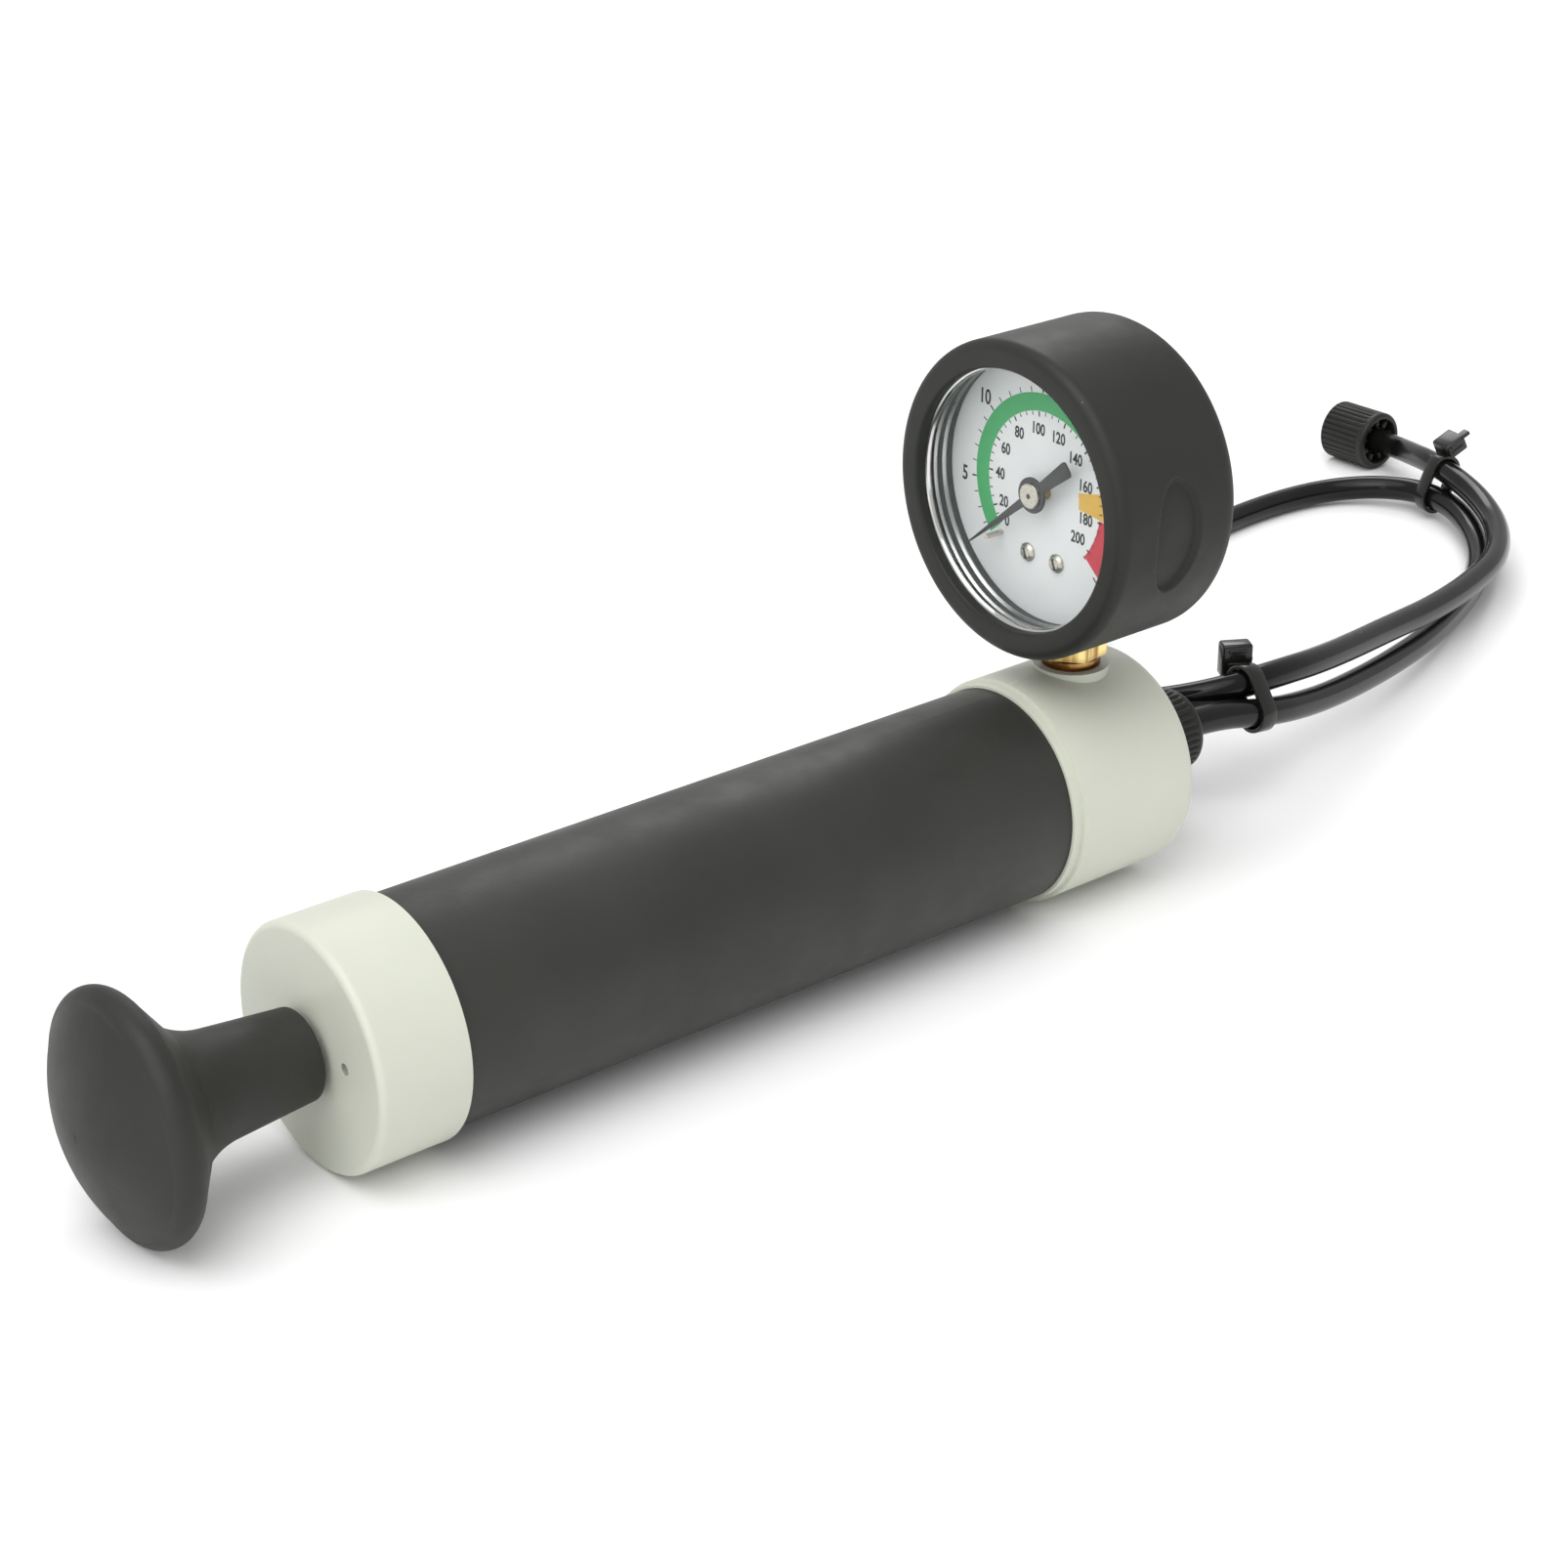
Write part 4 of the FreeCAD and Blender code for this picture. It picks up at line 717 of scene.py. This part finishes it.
def recess_depth(x, y, z, radius):
    """Depth of the oval recess on each side of the boot, with a soft edge."""
    if radius <= BOOT_RADIUS - SKIN or abs(y) <= BOOT_RADIUS / 2:
        return 0
    out = math.hypot((x - RECESS_X) / RECESS_HALF_X, (z - RECESS_Z) / RECESS_HALF_Z)
    share = max(0.0, min(1.0, (1.02 - out) / RECESS_EDGE))
    return RECESS_DEPTH * (share * share * (3 - 2 * share))


def fine_wall(outline):
    """The boot's outline with its outer wall in short steps, for the recess."""
    fine = []
    for start, end in zip(outline, outline[1:] + outline[:1]):
        on_wall = min(start.y, end.y) > BOOT_RADIUS - 0.01
        parts = int((end - start).length / BOOT_WALL_STEP) if on_wall else 1
        fine.append(start)
        fine += [start.lerp(end, part / parts) for part in range(1, parts)]
    return fine


def boot():
    """Rubber boot with rounded edges and a shallow oval recess on each side."""
    outline = rounded_outline([
        (BOOT_LIP, BOOT_MOUTH), (0, BOOT_MOUTH, 0.9), (0, BOOT_RADIUS, 2.6),
        (BOOT_DEPTH, BOOT_RADIUS, 4.2), (BOOT_DEPTH, BOOT_BACK_HOLE, 0.6),
        (BOOT_BACK_X, BOOT_BACK_HOLE), (BOOT_BACK_X, BOOT_BORE), (BOOT_LIP, BOOT_BORE),
    ])
    bm = spun(fine_wall(outline), BOOT_STEPS)
    press_in(bm, recess_depth)
    piece = finish_mesh("boot", bm, GAUGE, BOOT_RUBBER, sharp=75)
    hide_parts("gauge_boot")
    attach(piece, "pump")


def bezel_ring():
    """Bright bezel in front of the glass."""
    ring = turned("bezel_ring", [
        (BOOT_LIP, BEZEL_RADIUS), (BOOT_LIP, 30.2, 0.2), (3.0, 29.5, 0.25), (3.6, 29.1, 0.25),
        (LENS_FRONT, 29.4, 0.1), (LENS_FRONT, BEZEL_BORE), (BEZEL_BACK, BEZEL_BORE),
        (BEZEL_BACK, BEZEL_RADIUS),
    ], GAUGE, CHROME)
    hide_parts("gauge_bezel")
    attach(ring, "pump")


def spacer_ring():
    """Ribbed ring between the glass and the dial, with painted shade lining its two grooves."""
    spacer = turned("spacer_ring", [
        (SPACER_FRONT, SPACER_RADIUS), (SPACER_FRONT, SPACER_BORE, 0.1), (6.5, SPACER_RIB, 0.25),
        (6.9, SPACER_STEP, 0.1), (8.4, SPACER_STEP, 0.1), (9.2, SPACER_RIB, 0.25),
        (9.6, SPACER_STEP, 0.1), (SPACER_BACK, SPACER_BORE), (SPACER_BACK, SPACER_RADIUS),
    ], GAUGE, DULL_CHROME)
    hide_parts("dial_spacer_ring")
    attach(spacer, "pump")
    # Thin near-black rings in the two grooves: painted shade.
    for number, (start, end) in enumerate(GROOVE_SPANS, start=1):
        section = [(start, SPACER_BORE), (start, GROOVE_BORE), (end, GROOVE_BORE), (end, SPACER_BORE)]
        groove = turned(f"spacer_groove_shade_{number}", section, GAUGE, PAINTED_SHADE_AND_RIVET)
        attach(groove, "pump")


POINTER_X = 7.3
POINTER = GAUGE @ Matrix.Translation((POINTER_X, 0, 0)) @ Matrix.Rotation(math.radians(SCALE_START), 4, "X")
NEEDLE_TIP = 26.0
NEEDLE_TAIL = -14.4
NEEDLE_THICK = 0.5
NEEDLE_BEVEL = 0.12
HUB_RADIUS = 4.1
NEEDLE_CAP_RADIUS = 2.95


def needle():
    """Flat needle with a broad bevelled tail, and a round hub with its cap and rivet."""
    upper = [(NEEDLE_TAIL, 1.95, 0.8), (-4.0, 1.25), (3.0, 1.05), (NEEDLE_TIP, 0.16)]
    lower = [(x, -y, *fillet) for x, y, *fillet in reversed(upper)]
    bm = bmesh.new()
    extruded(bm, [(0, y, z) for y, z in rounded_outline(upper + lower)], (NEEDLE_THICK, 0, 0))
    front = [edge for edge in bm.edges if all(vert.co.x == 0 for vert in edge.verts)]
    round_edges(bm, front, NEEDLE_BEVEL, segments=2)
    blade = finish_mesh("needle_blade", bm, POINTER, NEEDLE_BLACK)
    hub = turned("needle_hub", [(-0.1, 0), (-0.1, HUB_RADIUS, 0.3), (0.55, HUB_RADIUS), (0.55, 0)],
                 POINTER, NEEDLE_BLACK, steps=72, closed=False)
    cap = turned("needle_cap", [(-0.8, 0), (-0.8, NEEDLE_CAP_RADIUS, 0.35), (-0.1, NEEDLE_CAP_RADIUS)],
                 POINTER, NICKEL, steps=72, closed=False)
    rivet = turned("needle_rivet", [(-0.92, 0), (-0.9, 0.5, 0.1), (-0.75, 0.65)],
                   POINTER, PAINTED_SHADE_AND_RIVET, steps=32, closed=False)
    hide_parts("gauge_pointer")
    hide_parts("pointer_cap")
    slots = {blade: "pointer_black", hub: "pointer_black", cap: "pointer_black", rivet: "brass"}
    for piece, slot in slots.items():
        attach(piece, "pointer")


SCREW_Y = 4.65
SCREW_Z = -15.7
SCREW_RADIUS = 2.2
SCREW_SLOT_X = -1.14
SCREW_SLOT_TURN = 1.2
SCREW_SLOT_SIZE = (0.3, 2.6, 0.55)


def screw_head(name, y):
    """Domed head on the dial, its slot a near-black bar of painted shade."""
    place = DIAL @ Matrix.Translation((0, y, SCREW_Z))
    section = [(0, 0), (0, SCREW_RADIUS), (-0.4, SCREW_RADIUS, 0.25), (-1.1, 1.4, 0.6), (-1.25, 0)]
    head = turned(name, section, place, NICKEL, steps=48, closed=False)
    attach(head, "pump")
    # The slot is a near-black bar on the dome: painted shade, not a cut.
    bm = bmesh.new()
    turn = Matrix.Rotation(SCREW_SLOT_TURN, 4, "X")
    bmesh.ops.create_cube(bm, size=1, matrix=Matrix.Translation((SCREW_SLOT_X, 0, 0)) @ turn
                          @ Matrix.Diagonal((*SCREW_SLOT_SIZE, 1)))
    slot = finish_mesh(f"{name}_slot", bm, place, PAINTED_SHADE_AND_RIVET, smooth=False)
    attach(slot, "pump")
    return head


def gauge_details():
    bezel_ring()
    spacer_ring()
    left_head = screw_head("dial_screw_left", SCREW_Y)
    screw_head("dial_screw_right", -SCREW_Y)
    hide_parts("dial_screws")
    boot()
    needle()


# Ties

TIE_THICK = 1.1
TIE_WIDE = 4.6
TIE_SLACK = 0.25
TIE_ROUNDING = 0.25
TIE_ARC_STEPS = 20
HEAD_ROUNDING = 0.8
# Two bars frame the window in a head's face.
BAR_SHARE = 0.62
BAR_SECTION = (0.7, 0.9)
WINDOW_RISE = 0.12
WINDOW_HALF = 0.2
TAIL_SECTION = (2.6, 1.2)
TAIL_SUNK = 0.5


def nearest(spot):
    """Index of the line's point nearest to a pump-frame spot."""
    place = Vector((spot[0] - MID_X, spot[1], spot[2]))
    return min(range(len(LINE)), key=lambda index: (LINE[index] - place).length)


def way_at(index):
    """Direction of the hose at a point of its line, from the points two before and two after it."""
    return (LINE[min(index + 2, len(LINE) - 1)] - LINE[max(index - 2, 0)]).normalized()


def tie_frame(under, over):
    """Frame on the lower strand, X along it and Z to the upper strand, and their distance."""
    low = nearest(under)
    high = nearest(over)
    across = LINE[high] - LINE[low]
    along = way_at(low) + way_at(high)
    along = (along - across * (along.dot(across) / across.length_squared)).normalized()
    up = across.normalized()
    side = up.cross(along)
    turn = Matrix((along, side, up)).transposed().to_4x4()
    return Matrix.Translation(LINE[low]) @ turn, across.length


def strap_loop(bm, apart):
    """Flat strap pulled round two strands, in the frame of the lower one."""
    inner = HOSE_RADIUS + TIE_SLACK
    turns = [math.pi * step / TIE_ARC_STEPS for step in range(TIE_ARC_STEPS + 1)]
    rims = []
    for reach in (inner, inner + TIE_THICK):
        loop = [(reach * math.cos(turn), -reach * math.sin(turn)) for turn in turns]
        loop += [(-reach * math.cos(turn), apart + reach * math.sin(turn)) for turn in turns]
        verts = [bm.verts.new((-TIE_WIDE / 2, y, z)) for y, z in loop]
        rims += [bm.edges.new(pair) for pair in zip(verts, verts[1:] + verts[:1])]
    pushed(bm, bmesh.ops.bridge_loops(bm, edges=rims)["faces"], (TIE_WIDE, 0, 0))
    ends = [edge for edge in bm.edges if abs(edge.verts[0].co.x - edge.verts[1].co.x) < 1e-6]
    round_edges(bm, ends, TIE_ROUNDING, segments=2)


def tie(name, node, under, over, head, size, tail):
    """Cable tie: a strap round two strands, a head block and the cut tail along the head's X."""
    place, apart = tie_frame(under, over)
    length, depth, height = size
    bm = bmesh.new()
    strap_loop(bm, apart)
    bm.transform(place)
    rounded_block(bm, head, size, HEAD_ROUNDING)
    window = head @ Matrix.Translation((0, -depth / 2, height * WINDOW_RISE))
    for side in (-1, 1):
        bar = window @ Matrix.Translation((0, 0, side * height * WINDOW_HALF))
        rounded_block(bm, bar, (length * BAR_SHARE, *BAR_SECTION), TIE_ROUNDING)
    end = head @ Matrix.Translation(((length + tail) / 2 - TAIL_SUNK, 0, 0))
    rounded_block(bm, end, (tail + 2 * TAIL_SUNK, *TAIL_SECTION), TIE_ROUNDING)
    piece = finish_mesh(name, bm, Matrix.Identity(4), TIE_NYLON, sharp=40)
    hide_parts(node)
    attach(piece, "pump")
    return piece


def head_place(x, y, z, turn_y, turn_z):
    """Frame of a tie's head from its centre on the pump and its turns in degrees."""
    turns = Matrix.Rotation(math.radians(turn_z), 4, "Z") @ Matrix.Rotation(math.radians(turn_y), 4, "Y")
    return Matrix.Translation((x - MID_X, y, z)) @ turns


# Nuts, valve spring and small marks

RIB_STEPS = 12
HOSE_HOLE = 4.0


def ribbed_nut(name, node, body, place, corners, outer, span, ribs, depth):
    """Nut turned from its section, with rounded ribs along a span of its outside."""
    def groove_depth(x, y, z, radius):
        if radius <= outer - SKIN or not span[0] <= x <= span[1]:
            return 0
        return depth * (0.5 - 0.5 * math.cos(ribs * math.atan2(z, y))) ** 2

    bm = spun(rounded_outline(corners), ribs * RIB_STEPS)
    press_in(bm, groove_depth)
    piece = finish_mesh(name, bm, place, NUT_BLACK, sharp=50)
    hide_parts(node)
    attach(piece, body)
    return piece


def outlet_nut():
    """Ribbed nut that clamps the hose on the outlet cap, with a plain rounded rim."""
    bore = 7.55
    outer = 10.0
    start = CAP_END
    seat = start + 12.05
    end = start + 20.5
    ribbed_nut("hose_nut", "outlet_nut", "pump", PUMP, [
        (start, bore), (seat, bore), (seat, HOSE_HOLE), (end, HOSE_HOLE, 0.5), (end, outer, 1.9),
        (end - 2.3, outer), (end - 3.2, outer), (start + 0.3, outer), (start, outer - 0.2),
    ], outer, span=(start + 0.2, end - 3.1), ribs=36, depth=0.62)


def end_fitting():
    """Ribbed end nut, with radial webs in the recess round the hose."""
    points = hose_points()
    way = (points[-1] - points[-2]).normalized()
    place = Matrix.Translation(points[-1] / MM) @ way.to_track_quat("X", "Z").to_matrix().to_4x4()
    outer = 8.85
    recess = 7.0
    relief = 6.88
    thread = 6.58
    back, recess_floor, washer_seat, relief_end, front = (-7.8, -3.8, -0.3, 4.1, 9.2)
    nut = ribbed_nut("end_cap_nut", "end_nut", "end_nut", place, [
        (back, recess, 0.4), (recess_floor, recess), (recess_floor, HOSE_HOLE), (washer_seat, HOSE_HOLE),
        (washer_seat, relief), (relief_end, relief), (relief_end, thread), (front, thread),
        (front, outer, 0.5), (8.4, outer), (-5.0, outer), (-5.9, outer), (back, outer, 1.1),
    ], outer, span=(-5.1, 8.5), ribs=32, depth=0.6)
    bm = bmesh.new()
    webs = 9
    web_size = (3.0, 1.5, 2.7)
    for number in range(webs):
        turn = Matrix.Rotation(2 * math.pi * number / webs, 4, "X")
        rounded_block(bm, turn @ Matrix.Translation((-4.9, 0, 5.7)), web_size, 0.5)
    spokes = finish_mesh("end_nut_webs", bm, place, NUT_BLACK, sharp=40)
    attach(spokes, "end_nut")
    return nut


def valve_spring():
    """Coil spring behind the check ball."""
    low, high = (Vector(corner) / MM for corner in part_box("check_valve_spring"))
    wire = 0.2
    reach = (high.y - low.y) / 2 - wire
    turns = 7
    steps = turns * 28
    rise = (high.x - low.x - 2 * wire) / steps
    bm = bmesh.new()
    start = Matrix.Translation((low.x + wire, reach, AXIS_Z))
    bmesh.ops.create_circle(bm, cap_ends=True, segments=8, radius=wire, matrix=start)
    bmesh.ops.spin(bm, geom=bm.verts[:] + bm.edges[:] + bm.faces[:], cent=(0, 0, AXIS_Z), axis=(1, 0, 0),
                   dvec=(rise, 0, 0), angle=2 * math.pi * turns, steps=steps)
    spring = finish_mesh("valve_coil_spring", bm, Matrix.Identity(4), STEEL_ROD)
    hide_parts("check_valve_spring")
    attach(spring, "pump")
    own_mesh(spring)


def cap_marks():
    """Short mould line on top of the outlet cap and the shaded wall of the vent."""
    bm = bmesh.new()
    line_size = (6.5, 0.3, 0.24)
    rounded_block(bm, Matrix.Translation((190.2, 0, CAP_RADIUS)), line_size, 0.05)
    line = finish_mesh("cap_mould_line", bm, PUMP, ACETAL)
    bore = PUMP @ Matrix.Translation((0, -13.6, 1.8))
    vent = turned("vent_wall", [(0.9, 0), (0.9, 1.24, 0.2), (0.12, 1.28)], bore, VENT_SHADE,
                  steps=40, closed=False)
    for piece in (line, vent):
        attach(piece, "pump")


# Floor and light

FLOOR_SIZE = 6
LIGHT_TARGET = (0.05, 0, 0.04)
WORLD_STRENGTH = 0.62
SUN_PLACE = (-0.7, -0.3, 1.6)
SUN_STRENGTH = 1.5
SUN_SPREAD = 70
# Name, place, size and power of each area light
PANELS = (
    ("key", (-0.45, -0.25, 1.1), 0.8, 3.6),
    ("side", (-1.2, -0.5, 0.45), 0.6, 1.9),
    ("rim", (0.9, 0.9, 0.9), 0.6, 4),
)


def set_floor():
    bm = bmesh.new()
    bmesh.ops.create_grid(bm, x_segments=1, y_segments=1, size=FLOOR_SIZE)
    mesh = bpy.data.meshes.new("floor")
    bm.to_mesh(mesh)
    bm.free()
    paint = Paint("floor_pale", (0.93, 0.93, 0.93), Roughness=0.9, Specular_IOR_Level=0.1)
    mesh.materials.append(paint.material)
    floor = bpy.data.objects.new("floor", mesh)
    bpy.context.scene.collection.objects.link(floor)


def aim_light(name, data, place):
    light = bpy.data.objects.new(name, data)
    light.location = place
    aim = Vector(LIGHT_TARGET) - light.location
    light.rotation_euler = aim.to_track_quat("-Z", "Y").to_euler()
    bpy.context.scene.collection.objects.link(light)


def set_lights():
    """White surroundings, a wide soft sun and three panels."""
    world = bpy.data.worlds.new("studio")
    bpy.context.scene.world = world
    world.use_nodes = True
    background = world.node_tree.nodes["Background"]
    background.inputs["Color"].default_value = (1, 1, 1, 1)
    background.inputs["Strength"].default_value = WORLD_STRENGTH
    sun = bpy.data.lights.new("sky_panel", "SUN")
    sun.energy = SUN_STRENGTH
    sun.angle = math.radians(SUN_SPREAD)
    aim_light("sky_panel", sun, SUN_PLACE)
    for name, place, size, power in PANELS:
        panel = bpy.data.lights.new(name, "AREA")
        panel.size = size
        panel.energy = power
        aim_light(name, panel, place)
    bpy.context.scene.view_settings.view_transform = "Standard"
    bpy.context.scene.view_settings.look = "None"


paint_nodes()
HOSE.data.materials.append(HOSE_GLOSS)
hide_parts("test_hose")
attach(HOSE, "pump")
near_tie = tie("tie_near", "hose_tie_near", under=(270.8, 0.0, 21.9), over=(270.8, 5.6, 28.1),
               head=head_place(273.4, 11.1, 32.1, turn_y=0, turn_z=-30), size=(7.8, 4.6, 8.7), tail=0.3)
far_tie = tie("tie_far", "hose_tie_far", under=(454.6, 99.9, 6.7), over=(457.4, 98.8, 14.7),
              head=head_place(460.8, 99.6, 21.6, turn_y=-27, turn_z=-12), size=(7.0, 7.5, 4.9), tail=3.4)
outlet_nut()
valve_spring()
end_fitting()
cap_marks()
gauge_details()
dial_print()
set_floor()
set_lights()
